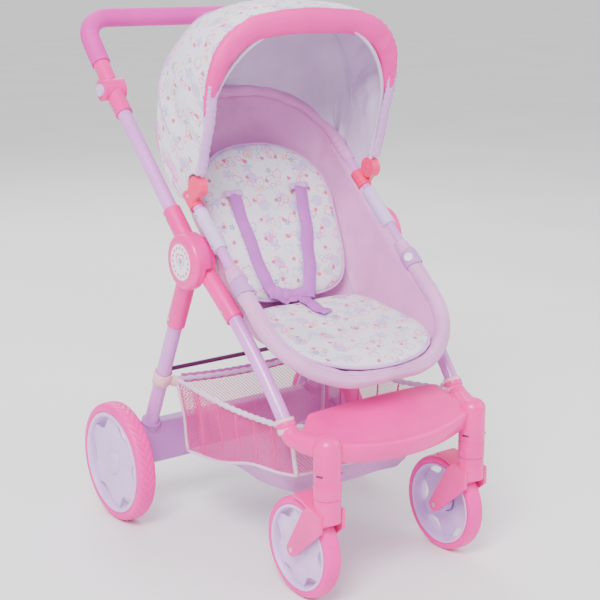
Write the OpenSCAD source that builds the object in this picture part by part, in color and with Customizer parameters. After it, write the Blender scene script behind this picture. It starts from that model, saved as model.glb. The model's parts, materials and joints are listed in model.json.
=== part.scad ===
// Doll stroller: folding tube frame, swivel front wheels, reclining seat unit, folding hood and a net basket.
// Millimetres, +Z up, origin on the ground under the middle of the object. The front faces -Y.
// "left" is the -X side, which is on the left hand of someone who looks at the front.

/* [Frame] */
// Half distance between the planes of the two upper tubes
frame_half_w = 140; // [138:1:150]
// Height of the hub axis over the ground
hub_z = 381; // [360:1:400]
// Distance of the hub axis behind the origin
hub_y = -18; // [-35:1:-5]
// Length from hub axis to handle hinge axis
upper_len = 277; // [240:1:300]
// Slope of the upper tubes over the horizontal
upper_slope = 44; // [42:0.5:50]
// Outer diameter of the upper tubes
upper_d = 18; // [14:0.5:20]
// Outer diameter of the rear legs
rear_leg_d = 19; // [15:0.5:21]
// Outer diameter of the front legs
front_leg_d = 17; // [13:0.5:18]
// Wall of every frame tube
tube_wall = 1.4; // [1:0.1:2]

/* [Hubs] */
// Diameter of the round hub housing
hub_d = 70; // [62:1:76]
// Thickness of the outer hub housing
hub_outer_t = 14; // [11:0.5:16]
// Thickness of the inner hub disc that carries the front leg
hub_inner_t = 17; // [13:0.5:18]
// Diameter of the picture medallion
medallion_d = 50; // [40:1:56]
// Diameter of the steel hub pin
hub_pin_d = 8; // [6:0.5:9]
// Wall of the sockets that hold the tubes
socket_wall = 2.6; // [2:0.1:3]

/* [Handle] */
// Diameter of the foam grip
grip_d = 25; // [20:0.5:28]
// Diameter of the steel tube in the grip
handle_tube_d = 15; // [12:0.5:16]
// Straight length from the hinge axis to the start of the bend
handle_arm = 80; // [70:1:90]
// Radius of the handle bends
handle_bend = 38; // [28:1:42]
// Slope of the handle arms over the horizontal
handle_slope = 48.5; // [40:0.5:60]
// Diameter of the hinge drums
knuckle_d = 29; // [25:0.5:33]
// Diameter of the push buttons
button_d = 16; // [12:0.5:18]
// How far a push button stands proud
button_proud = 3.5; // [3:0.25:5]

/* [Rear axle] */
// Rear wheel diameter
rear_wheel_d = 162; // [140:1:176]
// Rear wheel width over the tyre
rear_wheel_w = 28; // [22:1:32]
// Distance from the origin back to the rear axle
rear_axle_y = 135.5; // [120:0.5:150]
// Half distance between the wheel planes
rear_half_track = 176; // [170:1:190]
// Diameter of the steel rear axle
rear_axle_d = 8; // [6:0.5:9]
// Height of the moulded axle beam
beam_h = 58; // [45:1:64]
// Depth of the moulded axle beam
beam_depth = 30; // [26:1:36]

/* [Front end] */
// Front wheel diameter
front_wheel_d = 124; // [110:1:132]
// Front wheel width over the tyre
front_wheel_w = 24; // [18:1:26]
// Half distance between the caster stems
caster_half_track = 112; // [110:1:122]
// Distance from the origin forward to the caster stems
caster_y = 247.5; // [240:0.5:255]
// How far the wheel trails behind its stem
caster_trail = 46.5; // [38:0.5:47]
// Diameter of the caster housings on the footrest
housing_d = 33; // [30:0.5:38]
// Diameter of the caster stem
stem_d = 14; // [10:0.5:16]
// Diameter of the steel front axles
front_axle_d = 6; // [4:0.5:8]

/* [Seat] */
// Slope of the seat ring over the horizontal
ring_slope = 41; // [36:1:46]
// Half width of the seat ring, centre to centre
ring_half_w = 131; // [120:1:133]
// Length of the seat ring along its slope
ring_len = 464; // [430:1:490]
// Bend radius of the ring's corners
ring_corner = 98; // [80:1:110]
// Diameter of the ring tube
ring_d = 13; // [10:0.5:14]
// Depth of the fabric bucket under the ring
bucket_depth = 96; // [80:1:104]
// Thickness of the fabric shell
shell_t = 3; // [2:0.5:5]
// Thickness of the liner pads
pad_t = 11; // [8:0.5:14]
// Width of the back pad
back_pad_w = 196; // [150:1:200]
// Width of the harness webbing
strap_w = 17; // [12:1:24]

/* [Hood] */
// Hood radius over the pivots at the crown
hood_r = 214; // [200:1:220]
// Half width of the hood
hood_half_w = 141; // [139:0.5:146]
// Thickness of the hood layers
hood_t = 3; // [2:0.5:3.5]
// Height of the padded visor band
visor_h = 27; // [20:1:34]
// Depth of the padded visor band
visor_t = 16; // [10:1:20]
// Lean of the front bow forward of upright
bow_lean = 16; // [10:1:22]

/* [Basket] */
// Half width of the basket
basket_half_w = 124; // [100:1:126]
// Thickness of the basket cloth and net
basket_t = 2.4; // [2:0.2:4]
// Height of the basket's back wall
basket_back_h = 98; // [70:1:105]
// Height of the basket's front wall
basket_front_h = 56; // [40:1:60]

/* [Hidden] */
$fn = 48;

run_gap = 0.05;       // radial clearance of every shaft that turns
clear = 0.4;          // space between pieces of different bodies that pass each other
rivet_d = 5;
rivet_head = 1.2;
PINK = [0.94, 0.45, 0.70];
LILAC = [0.84, 0.66, 0.88];
PALE_LILAC = [0.90, 0.84, 0.95];
CORAL = [0.93, 0.45, 0.56];
CLOTH = [0.88, 0.68, 0.86];
PRINT = [0.94, 0.92, 0.97];
STEEL = [0.75, 0.76, 0.78];

// directions and points of the frame, for the +X side
function yz(angle, r) = [0, r * cos(angle), r * sin(angle)];
function unit(v) = v / norm(v);
hub = [frame_half_w, hub_y, hub_z];
knuckle = hub + yz(upper_slope, upper_len);
upper_dir = yz(upper_slope, 1);
handle_dir = yz(handle_slope, 1);
beam_z = 102;
beam_y = rear_axle_y - 9;
rear_top = [frame_half_w + 6, hub_y, hub_z];
rear_foot = [frame_half_w - 5, beam_y - 4, beam_z + beam_h / 2 - 6];
rear_dir = unit(rear_foot - rear_top);
front_foot = [frame_half_w - 10, -caster_y + 51, 209];
front_chord = unit(front_foot - hub);
front_sag = 11;
housing_z0 = 139;
housing_h = 66;
stem = [caster_half_track, -caster_y, housing_z0];
front_r = front_wheel_d / 2;
rear_r = rear_wheel_d / 2;
front_centre = [caster_half_track, -caster_y + caster_trail, front_r];
rear_centre = [rear_half_track, rear_axle_y, rear_r];
socket_len = 104;

// seat ring: a plane through this point with the slope of ring_slope
ring_mid = [0, hub_y - 27, hub_z + 32.2];
ring_up = yz(ring_slope, 1);
ring_normal = yz(ring_slope + 90, 1);
clamp_u = 59;
pivot_lift = 25;
pivot = ring_mid + ring_up * clamp_u + ring_normal * pivot_lift;

// ---------------------------------------------------------------- helpers

// the same piece on the left side
module left() { mirror([1, 0, 0]) children(); }

// moves children, which stand along +Z, onto the line from p to q
module along(p, q) {
    v = q - p;
    translate(p) rotate([0, acos(v[2] / norm(v)), atan2(v[1], v[0])]) children();
}

// solid round bar from p to q
module bar(p, q, d) { along(p, q) cylinder(d = d, h = norm(q - p)); }

// hollow tube from p to q
module pipe(p, q, d, wall = tube_wall) {
    along(p, q) difference() {
        cylinder(d = d, h = norm(q - p));
        translate([0, 0, -1]) cylinder(d = d - 2 * wall, h = norm(q - p) + 2);
    }
}

// round bar along X, centred on x
module xbar(p, d, len) { translate(p) rotate([0, 90, 0]) cylinder(d = d, h = len, center = true); }

// children drawn in the XY plane of a frame at p with x along vx and y along vy
module in_frame(p, vx, vy) {
    vz = cross(vx, vy);
    multmatrix([[vx[0], vy[0], vz[0], p[0]], [vx[1], vy[1], vz[1], p[1]],
                [vx[2], vy[2], vz[2], p[2]], [0, 0, 0, 1]]) children();
}

// ring section for a bent tube
module tube_section(d, wall) {
    difference() { circle(d = d); if (wall > 0) circle(d = d - 2 * wall); }
}

// arc of tube from p to q, bulging by sag towards "up"; wall 0 is solid
module arc_pipe(p, q, sag, up, d, wall) {
    c = norm(q - p);
    r = (c * c / 4 + sag * sag) / (2 * sag);
    vx = (q - p) / c;
    vy = unit(up - vx * (up * vx));
    half = asin(c / 2 / r);
    in_frame(p, vx, vy) translate([c / 2, sag - r, 0]) rotate([0, 0, 90 - half])
        rotate_extrude(angle = 2 * half, $fn = 96) translate([r, 0]) tube_section(d, wall);
}

// U of tube in the XY plane: arms at +-half from y0 to y1, bends of radius r, a bar across; wall 0 is solid
module u_tube(half, y1, r, y0, d, wall) {
    for (s = [0, 1]) mirror([s, 0, 0]) {
        translate([half, y0, 0]) rotate([-90, 0, 0]) linear_extrude(y1 - y0) tube_section(d, wall);
        translate([half - r, y1, 0]) rotate_extrude(angle = 90) translate([r, 0]) tube_section(d, wall);
        translate([0, y1 + r, 0]) rotate([0, 90, 0]) linear_extrude(half - r) tube_section(d, wall);
    }
}

// rounded rectangle
module rounded(w, h, r) {
    translate([-w / 2 + r, -h / 2]) square([w - 2 * r, h]);
    translate([-w / 2, -h / 2 + r]) square([w, h - 2 * r]);
    for (x = [-1, 1], y = [-1, 1]) translate([x * (w / 2 - r), y * (h / 2 - r)]) circle(r = r);
}

// rivet head that sits on the outer side of a tube at p
module rivet(p, tube_d) {
    translate([p[0] + tube_d / 2, p[1], p[2]]) rotate([0, 90, 0]) cylinder(d = rivet_d, h = rivet_head);
}

// ---------------------------------------------------------------- hubs and frame

hub_face = frame_half_w + 8;             // where the outer housing starts
hub_skin = hub_face + hub_outer_t;       // its outer face
inner_face = hub_face - 0.3 - hub_inner_t;
inner_d = 58;                            // disc of the front leg, under the seat's sleeve
skirt = 7.5;                             // how far the housing's rim reaches inward
pin_seat = 6;                            // how deep the pin sits in the housing

module hub_profile() {
    // domed housing: flat back, rounded outer edge
    edge = 6.5;
    intersection() {
        union() {
            square([hub_d / 2 - edge, hub_outer_t]);
            square([hub_d / 2, hub_outer_t - edge]);
            translate([hub_d / 2 - edge, hub_outer_t - edge]) circle(r = edge);
        }
        square([hub_d / 2, hub_outer_t]);
    }
}

module socket(from, dir, start, end, d) {
    bar(from + dir * start, from + dir * end, d + 2 * socket_wall);
}

module hub_housing_right() {
    upper_end = 77;
    color(PINK) difference() {
        union() {
            translate([hub_face, hub_y, hub_z]) rotate([0, 90, 0]) rotate_extrude() hub_profile();
            // skirt round the inner disc
            translate([hub_face - skirt, hub_y, hub_z]) rotate([0, 90, 0]) cylinder(d = hub_d, h = skirt + 1);
            socket(hub, upper_dir, 30, upper_end, upper_d);
            socket(rear_top, rear_dir, 30, socket_len, rear_leg_d);
        }
        // room for the inner disc of the front leg
        translate([inner_face - 20, hub_y, hub_z]) rotate([0, 90, 0])
            cylinder(d = inner_d + 2 * clear, h = hub_face - inner_face + 20);
        // way of the front leg's socket as it folds back
        translate([inner_face - 20, hub_y, hub_z]) rotate([90, 0, 90])
            linear_extrude(hub_face - inner_face + 20)
            polygon([[0, 0], for (a = [187 : 13 : 278]) 66 * [cos(a), sin(a)]]);
        bar(hub + upper_dir * 45, hub + upper_dir * (upper_end + 1), upper_d);
        bar(rear_top + rear_dir * 60, rear_top + rear_dir * (socket_len + 1), rear_leg_d);
        xbar([hub_face, hub_y, hub_z], hub_pin_d, 2 * pin_seat);
        xbar([hub_skin, hub_y, hub_z], medallion_d, 3);
    }
}

module medallion_right() {
    color(PRINT) translate([hub_skin - 1.5, hub_y, hub_z]) rotate([0, 90, 0])
        cylinder(d = medallion_d, h = 2.1);
}

module hub_pins() {
    length = hub_face + pin_seat - (inner_face - 9.5);
    color(STEEL) for (s = [-1, 1])
        xbar([s * (hub_face + pin_seat - length / 2), hub_y, hub_z], hub_pin_d, length);
}

module upper_tube_right() {
    color(LILAC) pipe(hub + upper_dir * 45, knuckle - upper_dir * 21, upper_d);
}

module rear_leg_right() {
    color(LILAC) pipe(rear_top + rear_dir * 60, rear_foot, rear_leg_d);
}

module hinge_drum(x0, x1, d = knuckle_d) {
    translate([x0, knuckle[1], knuckle[2]]) rotate([0, 90, 0]) cylinder(d = d, h = x1 - x0);
}

hinge_mid = frame_half_w + 1;
drum_len = 15;
hinge_pin_d = 5;

module hinge_lower_right() {
    color(PINK) difference() {
        union() {
            hinge_drum(hinge_mid - drum_len, hinge_mid - 0.2);
            socket(knuckle, -upper_dir, 0, 42, upper_d);
        }
        hinge_drum(hinge_mid - 0.2, hinge_mid + drum_len + 9, knuckle_d + 2 * clear);
        bar(knuckle - upper_dir * 21, knuckle - upper_dir * 43, upper_d);
        hinge_drum(hinge_mid - drum_len + 3, hinge_mid + 1, hinge_pin_d);
    }
}

module hinge_pins() {
    length = drum_len - 3 + 6;
    color(STEEL) for (s = [-1, 1])
        xbar([s * (hinge_mid - drum_len + 3 + length / 2), knuckle[1], knuckle[2]], hinge_pin_d, length);
}

module rear_axle_beam() {
    wall = 2.5;
    half = rear_half_track - rear_wheel_w / 2 - 2;
    cup_d = rear_leg_d + 7;
    color(LILAC) difference() {
        union() {
            difference() {
                rotate([0, 90, 0]) translate([-beam_z, beam_y, -half])
                    linear_extrude(2 * half) rounded(beam_h, beam_depth, 8);
                rotate([0, 90, 0]) translate([-beam_z + wall, beam_y, -half + wall * 2])
                    linear_extrude(2 * half - 4 * wall)
                        square([beam_h, beam_depth - 2 * wall], center = true);
            }
            // bosses for the axle, and cups for the legs
            for (s = [-1, 1]) {
                translate([s * (half - 12), rear_axle_y, rear_r]) rotate([0, 90, 0])
                    cylinder(d = rear_axle_d + 8, h = 24, center = true);
                mirror([s > 0 ? 0 : 1, 0, 0])
                    bar(rear_foot + rear_dir * 14, rear_foot - rear_dir * 12, cup_d);
            }
        }
        for (s = [0, 1]) mirror([s, 0, 0])
            bar(rear_foot, rear_foot - rear_dir * 30, rear_leg_d);
        xbar([0, rear_axle_y, rear_r], rear_axle_d, 400);
    }
}

module rear_axle() {
    color(STEEL) xbar([0, rear_axle_y, rear_r], rear_axle_d, 2 * (rear_half_track + 6));
}

rod_at = rear_top + rear_dir * 186;
rod_d = 6;
module cross_rod() {
    color([0.3, 0.1, 0.3]) xbar([0, rod_at[1], rod_at[2]], rod_d, 2 * (rod_at[0] - rear_leg_d / 2 - 0.2));
}

module chassis_rivets() {
    color(STEEL) for (s = [0, 1]) mirror([s, 0, 0]) {
        rivet(hub + upper_dir * 66, upper_d + 2 * socket_wall);
        rivet(rear_top + rear_dir * 94, rear_leg_d + 2 * socket_wall);
        rivet(knuckle - upper_dir * 33, upper_d + 2 * socket_wall);
    }
}

// ---------------------------------------------------------------- basket

basket_top = 205;
basket_back_y = 70.5;
basket_front_y = -caster_y + 54;
belly_y = basket_back_y - 195;
belly_drop = 4;

// side outline of the basket, as points of [y, z]
function basket_side(inset) = [
    [basket_front_y + inset, basket_top + (inset > 0 ? 9 : 0)],
    [basket_front_y + inset, basket_top - basket_front_h + inset * 0.6],
    [belly_y + inset * 0.3, basket_top - basket_back_h - belly_drop + inset],
    [basket_back_y - inset, basket_top - basket_back_h + inset],
    [basket_back_y - inset, basket_top + (inset > 0 ? 9 : 0)]
];

module basket_block(inset) {
    half = basket_half_w - inset;
    translate([-half, 0, 0]) rotate([90, 0, 90]) linear_extrude(2 * half) polygon(basket_side(inset));
}

module basket_body() {
    color(CLOTH) difference() {
        basket_block(0);
        basket_block(basket_t);
    }
}

// one loop of webbing round a leg, with a tail to the basket
module leg_loop(p, dir, leg_d, tail) {
    w = 12;
    t = 1.6;
    difference() {
        union() {
            bar(p - dir * w / 2, p + dir * w / 2, leg_d + 2 * t + 0.2);
            translate(tail) cube([8, 12, 10], center = true);
        }
        bar(p - dir * w, p + dir * w, leg_d + 0.2);
    }
}

rear_loop_at = rear_top + rear_dir * ((hub_z - 207) / -rear_dir[2]);
module basket_straps() {
    color([0.98, 0.80, 0.85]) for (s = [0, 1]) mirror([s, 0, 0])
        leg_loop(rear_loop_at, rear_dir, rear_leg_d, [basket_half_w + 4, rear_loop_at[1] - 3, 201]);
}

// ---------------------------------------------------------------- front frame

module front_hub_right() {
    color(PINK) difference() {
        union() {
            translate([inner_face, hub_y, hub_z]) rotate([0, 90, 0]) cylinder(d = inner_d, h = hub_inner_t);
            intersection() {
                front_socket(front_leg_d + 2 * socket_wall, 0);
                translate([frame_half_w - 70, hub_y - 110, hub_z - 110]) cube([90, 130, 130]);
            }
        }
        front_socket(front_leg_d, 0.3);
        // room for the seat's ear
        translate([inner_face - 20, hub_y, hub_z]) rotate([0, 90, 0]) cylinder(d = hub_d, h = 20);
        // room for the housing's disc
        translate([hub_face - 0.3, hub_y, hub_z]) rotate([0, 90, 0]) cylinder(d = hub_d + 2 * clear, h = 40);
        xbar([hub_face - 20, hub_y, hub_z], hub_pin_d + 2 * run_gap, 80);
    }
}

front_start = [frame_half_w - 2, hub_y, hub_z];
// the leg's own path, from the hub to the footrest; the socket is its first stretch
module front_path(d, wall) { arc_pipe(front_start, front_foot, front_sag, [0, -1, 0.7], d, wall); }
module front_socket(d, bore) {
    intersection() {
        front_path(d, 0);
        translate([frame_half_w - 80, hub_y, hub_z]) rotate([0, 90, 0])
            difference() {
                cylinder(r = socket_len + bore * 10 - 6, h = 120);
                if (bore > 0) translate([0, 0, -1]) cylinder(r = 58, h = 122);
            }
    }
}

module front_leg_right() {
    color(LILAC) intersection() {
        front_path(front_leg_d, tube_wall);
        translate([frame_half_w - 80, hub_y, hub_z]) rotate([0, 90, 0]) difference() {
            cylinder(r = 400, h = 120);
            translate([0, 0, -1]) cylinder(r = 58, h = 122);
        }
    }
}

// bumper between the front legs: a dished panel bowed to the front, on two caster housings
footrest_back = -caster_y + 33;
footrest_top = 220;
footrest_front = 57;                     // how far it reaches forward in the middle
footrest_bow = 22;
footrest_skin = 3.5;
footrest_low = 178;

// falling line of the top, as [y, z] from back to front
function roof(drop) = [for (t = [0 : 0.1 : 1])
    [footrest_back + 1 - (footrest_front + 2) * t, footrest_top - drop - 26 * sin(90 * pow(t, 1.2))]];

module under_roof(drop) {
    half = caster_half_track + 30;
    pts = concat(roof(drop), [[footrest_back - footrest_front - 1, 120], [footrest_back + 1, 120]]);
    translate([-half, 0, 0]) rotate([90, 0, 90]) linear_extrude(2 * half) polygon(pts);
}

module footrest_plan(inset) {
    half = caster_half_track + 4 - inset;
    r = (half * half + footrest_bow * footrest_bow) / (2 * footrest_bow);
    intersection() {
        translate([-half, footrest_back - footrest_front])
            square([2 * half, footrest_front + (inset > 0 ? 2 : 0)]);
        translate([0, footrest_back - footrest_front + r + inset]) circle(r = r, $fn = 96);
    }
}

module footrest() {
    corner_d = front_leg_d + 8;
    color(PINK) difference() {
        union() {
            difference() {
                intersection() {
                    translate([0, 0, footrest_low]) linear_extrude(60) footrest_plan(0);
                    under_roof(0);
                }
                intersection() {
                    translate([0, 0, footrest_low - 1]) linear_extrude(60) footrest_plan(footrest_skin);
                    under_roof(footrest_skin);
                }
            }
            for (s = [0, 1]) mirror([s, 0, 0]) {
                translate(stem) cylinder(d = housing_d, h = housing_h - 8);
                translate(stem + [0, 0, housing_h - 8]) intersection() {
                    sphere(d = housing_d);
                    translate([0, 0, 50]) cube(100, center = true);
                }
                bar(front_foot + [-1, 4, 10], [stem[0] + 3, stem[1] + 8, 196], corner_d);
            }
        }
        for (s = [0, 1]) mirror([s, 0, 0]) {
            // stem bore, open below
            translate(stem - [0, 0, 1]) cylinder(d = stem_d + 2 * run_gap, h = 46);
            // slot in front of the housing
            translate([stem[0] + 4, stem[1] - housing_d / 2, housing_z0 + 30])
                cube([8, 4, 1.6], center = true);
            front_path(front_leg_d, 0);
        }
    }
}

module front_rivets() {
    at = front_start + unit(front_chord + unit([0, -1, 0.7]) * 0.09) * 84;
    color(STEEL) for (s = [0, 1]) mirror([s, 0, 0]) rivet(at, front_leg_d + 2 * socket_wall - 0.8);
}

// ---------------------------------------------------------------- casters and wheels

fork_half = front_wheel_w / 2 + 2.2;
fork_wall = 4.6;
module caster_fork_right() {
    crown_top = housing_z0 - 0.5;
    crown_bottom = front_wheel_d + 4;
    color(PINK) difference() {
        union() {
            // stem and collar
            translate([stem[0], stem[1], crown_top - 3]) cylinder(d = stem_d, h = 44);
            translate([stem[0], stem[1], crown_bottom - 18])
                cylinder(d = housing_d - 1, h = crown_top - crown_bottom + 18);
            // two cheeks
            for (s = [-1, 1]) translate([stem[0] + s * (fork_half + fork_wall / 2), 0, 0])
                rotate([90, 0, 90]) linear_extrude(fork_wall, center = true) fork_cheek();
            // mudguard over the top of the wheel
            intersection() {
                translate(front_centre) rotate([0, 90, 0]) difference() {
                    cylinder(r = front_r + 7, h = 2 * fork_half + 1, center = true);
                    cylinder(r = front_r + 3, h = 100, center = true);
                }
                translate([stem[0], front_centre[1] - 24, front_wheel_d]) cube([60, 52, 60], center = true);
            }
        }
        // space that the wheel turns in
        translate(front_centre) rotate([0, 90, 0])
            cylinder(r = front_r + 3, h = 2 * fork_half, center = true);
        xbar(front_centre, front_axle_d, 60);
    }
}

// cheek of the fork: wide at the crown, narrow and round at the axle, as [y, z]
module fork_cheek() {
    top = housing_z0 - 3;
    tip = 9;
    difference() {
        union() {
            polygon([
                [stem[1] - housing_d / 2 + 7, top - 14], [stem[1] - housing_d / 2 + 7, top - 36],
                [front_centre[1] - tip * 0.6, front_centre[2] - tip * 0.8],
                [front_centre[1] + tip * 0.9, front_centre[2] + tip * 0.4],
                [stem[1] + housing_d / 2 + 6, top - 16], [stem[1] + housing_d / 2 - 4, top - 8]
            ]);
            translate([front_centre[1], front_centre[2]]) circle(r = tip);
        }
    }
}

module front_axle_right() {
    length = 2 * (fork_half + fork_wall) + 1.6;
    color(STEEL) xbar(front_centre, front_axle_d, length);
}

// moulded wheel disc, turned about X: rim, star-shaped web with six windows, and a hub.
// A blind hub is closed on the +X side.
module wheel_disc(r, w, bore, blind) {
    rim_t = r * 0.10;
    web_t = w * 0.3;
    windows = 6;
    cap = blind ? web_t / 2 + 5 : w / 2;
    rotate([0, 90, 0]) difference() {
        union() {
            rotate_extrude($fn = 96) {
                translate([r - rim_t, -w / 2]) square([rim_t, w]);
                translate([r - rim_t * 1.7, w / 2 - w * 0.16]) square([rim_t, w * 0.12]);
                translate([r - rim_t * 1.7, -w / 2 + w * 0.04]) square([rim_t, w * 0.12]);
            }
            difference() {
                translate([0, 0, -web_t / 2]) cylinder(r = r - rim_t / 2, h = web_t);
                for (i = [0 : windows - 1]) rotate(i * 360 / windows + 30)
                    translate([r * 0.80, 0, -w]) cylinder(r = r * 0.2, h = 2 * w);
            }
            translate([0, 0, -w / 2]) cylinder(d = bore + 11, h = w / 2 + cap);
        }
        translate([0, 0, -w]) cylinder(d = bore, h = blind ? w + 6.5 : 2 * w);
    }
}

// rounded tyre that sits on the rim
module tyre(r_in, r_out, w) {
    crown = w * 0.36;
    rotate([0, 90, 0]) rotate_extrude($fn = 96) {
        translate([r_in, -w / 2 + 3]) square([r_out - r_in - crown * 0.5, w - 6]);
        translate([r_in, -w / 2 + crown]) square([r_out - r_in, w - 2 * crown]);
        intersection() {
            translate([r_in, -w / 2]) square([r_out - r_in, w]);
            for (s = [-1, 1]) translate([r_out - crown, s * (w / 2 - crown)]) circle(r = crown);
        }
    }
}

rim_share = 0.845;
module front_wheel_right() {
    color(PALE_LILAC) translate(front_centre)
        wheel_disc(front_r * rim_share, front_wheel_w - 3, front_axle_d + 2 * run_gap, false);
}
module front_tyre_right() {
    color(PINK) translate(front_centre) tyre(front_r * rim_share, front_r, front_wheel_w);
}
module rear_wheel_right() {
    color(PALE_LILAC) translate(rear_centre)
        wheel_disc(rear_r * rim_share, rear_wheel_w - 3, rear_axle_d + 2 * run_gap, true);
}
module rear_tyre_right() {
    color(PINK) translate(rear_centre) tyre(rear_r * rim_share, rear_r, rear_wheel_w);
}

// ---------------------------------------------------------------- handle

// U-shaped run of tube in the plane of the handle, from "from" past the hinge axis
module handle_shape(d, wall, from) {
    in_frame([0, knuckle[1], knuckle[2]], [1, 0, 0], handle_dir)
        u_tube(frame_half_w, handle_arm, handle_bend, from, d, wall);
}

module handle_tube() { color(LILAC) handle_shape(handle_tube_d, tube_wall, 22); }

module handle_grip() {
    color([0.80, 0.45, 0.67]) difference() {
        handle_shape(grip_d, 0, 42);
        handle_shape(handle_tube_d, 0, 20);
    }
}

module hinge_upper_right() {
    arm_d = handle_tube_d + 2 * socket_wall + 1;
    color(PINK) difference() {
        union() {
            hinge_drum(hinge_mid, hinge_mid + drum_len);
            bar(knuckle, knuckle + handle_dir * 41.6, arm_d);
        }
        hinge_drum(hinge_mid - drum_len - 9, hinge_mid, knuckle_d + 2 * clear);
        bar(knuckle + handle_dir * 22, knuckle + handle_dir * 43, handle_tube_d);
        hinge_drum(hinge_mid - 1, hinge_mid + 7, hinge_pin_d + 2 * run_gap);
        hinge_drum(hinge_mid + drum_len - 6.5, hinge_mid + drum_len + 1, button_d + 2 * run_gap + 0.1);
    }
}

module hinge_button_right() {
    color(PINK) hinge_drum(hinge_mid + drum_len - 3, hinge_mid + drum_len + button_proud, button_d);
}

module handle_rivets() {
    color(STEEL) for (s = [0, 1]) mirror([s, 0, 0])
        rivet(knuckle + handle_dir * 31, handle_tube_d + 2 * socket_wall + 1);
}

// ---------------------------------------------------------------- seat unit

module ring_path(d, wall) {
    hw = ring_half_w;
    hl = ring_len / 2;
    c = ring_corner;
    in_frame(ring_mid, [1, 0, 0], ring_up) for (s = [0, 1]) mirror([s, 0, 0]) {
        for (e = [0, 1]) mirror([0, e, 0]) {
            translate([hw - c, hl - c, 0]) rotate_extrude(angle = 90) translate([c, 0]) tube_section(d, wall);
            translate([0, hl, 0]) rotate([0, 90, 0]) linear_extrude(hw - c)
                tube_section(d, wall);
        }
        translate([hw, -hl + c, 0]) rotate([-90, 0, 0]) linear_extrude(2 * (hl - c)) tube_section(d, wall);
    }
}

module seat_ring() { color(LILAC) ring_path(ring_d, tube_wall); }

bracket_d = ring_d + 5;
bracket_half = 30;
ear_t = 7;
ear_w = 22;
ear_drop = (ring_mid - hub) * ring_normal - 4;  // from the hub axis up into the sleeve's wall
bracket_mid = [ring_half_w, ring_mid[1], ring_mid[2]] + ring_up * 9;
module seat_bracket_right() {
    reach = inner_face - 0.4;
    color(PALE_LILAC) difference() {
        union() {
            bar(bracket_mid - ring_up * bracket_half, bracket_mid + ring_up * bracket_half, bracket_d);
            // ear that turns on the hub pin
            translate([reach - ear_t, 0, 0]) rotate([90, 0, 90]) linear_extrude(ear_t)
                translate([hub_y, hub_z]) {
                circle(d = ear_w);
                rotate(ring_slope) translate([-ear_w / 2 + 2.5, 0]) square([ear_w - 5, ear_drop]);
            }
        }
        bar(bracket_mid - ring_up * 60, bracket_mid + ring_up * 60, ring_d);
        xbar([reach, hub_y, hub_z], hub_pin_d + 2 * run_gap, 60);
    }
}

module seat_screws() {
    color(STEEL) for (s = [0, 1]) mirror([s, 0, 0]) for (e = [-1, 1])
        rivet(bracket_mid + ring_up * e * 24 - [0.2, 0, 0], bracket_d);
}

crease_back = 60;                        // how far the crease lies in front of the ring's middle
// bucket of cloth: from the ring down to the crease between seat and back
crease = ring_mid - ring_up * crease_back - ring_normal * bucket_depth;
module bucket(grow, lift) {
    hw = ring_half_w - bracket_d / 2 - 1 - grow;
    hull() {
        in_frame(ring_mid - ring_normal * (-lift), [1, 0, 0], ring_up) translate([0, 0, -1])
            linear_extrude(1) rounded(2 * hw, ring_len - bracket_d - 2 - 2 * grow, ring_corner - bracket_d / 2 - grow, $fn = 32);
        xbar(crease + ring_normal * (grow * 1.2), 10, 2 * (hw - 14));
    }
}

module seat_shell() {
    color(CLOTH) difference() {
        bucket(0, 0);
        bucket(shell_t, 1.5);
    }
}

module front_casing() {
    wrap = ring_d + 5;
    cut = -46;
    color(CLOTH) intersection() {
        difference() {
            ring_path(wrap, 0);
            ring_path(ring_d + 0.4, 0);
        }
        in_frame(ring_mid, [1, 0, 0], ring_up) translate([-200, -300, -30]) cube([400, 300 + cut, 60]);
    }
}

// children drawn in the ring's plane: x across, y up the slope, z out of the bucket
module in_ring() { in_frame(ring_mid, [1, 0, 0], ring_up) children(); }

// flat pad that lies over a wall of the bucket, from the crease to "reach" along the ring
pad_gap = 0.6;
function wall_slope(reach) = atan2(bucket_depth, reach);
module pad_plate(w, len, r_end) {
    linear_extrude(pad_t) {
        translate([-w / 2, 0]) square([w, len - r_end]);
        intersection() {
            translate([-w / 2, 0]) square([w, len]);
            union() {
                for (s = [-1, 1]) translate([s * (w / 2 - r_end), len - r_end]) circle(r = r_end);
                translate([-w / 2 + r_end, 0]) square([w - 2 * r_end, len]);
            }
        }
    }
}

ring_end = ring_len / 2 - 10;
seat_slope = wall_slope(ring_end - crease_back);
back_slope = wall_slope(ring_end + crease_back);
pad_floor = -bucket_depth + shell_t + 1.5;
seat_pad_len = 180;
back_pad_len = 226;
module on_seat(h) { in_ring() translate([0, -crease_back - 6, pad_floor]) mirror([0, 1, 0]) rotate([seat_slope, 0, 0])
    translate([0, 0, h]) children(); }
module on_back(h) { in_ring() translate([0, -crease_back + 6, pad_floor]) rotate([back_slope, 0, 0])
    translate([0, 0, h]) children(); }

module seat_pad() {
    color(PRINT) intersection() {
        bucket(shell_t + pad_gap, 14);
        on_seat(0) pad_plate(back_pad_w, seat_pad_len, 84);
    }
}

module back_pad() {
    color(PRINT) intersection() {
        bucket(shell_t + pad_gap, 14);
        on_back(0) pad_plate(back_pad_w, back_pad_len, 84);
    }
}

module harness() {
    t = 2;
    gap = 52;
    top = 146;
    color([0.76, 0.56, 0.78]) {
        on_back(pad_t + 0.3) translate([-gap - strap_w / 2, 4, 0]) cube([strap_w, top, t]);
        on_back(pad_t + 0.3) translate([gap, top + 4, 0]) rotate(180 - atan2(gap - 14, top))
            translate([-strap_w / 2, 0, 0])
            cube([strap_w, top, t]);
        on_seat(pad_t + 0.3) translate([-strap_w, 4, 0]) cube([strap_w * 2, 26, t]);
    }
}

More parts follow.
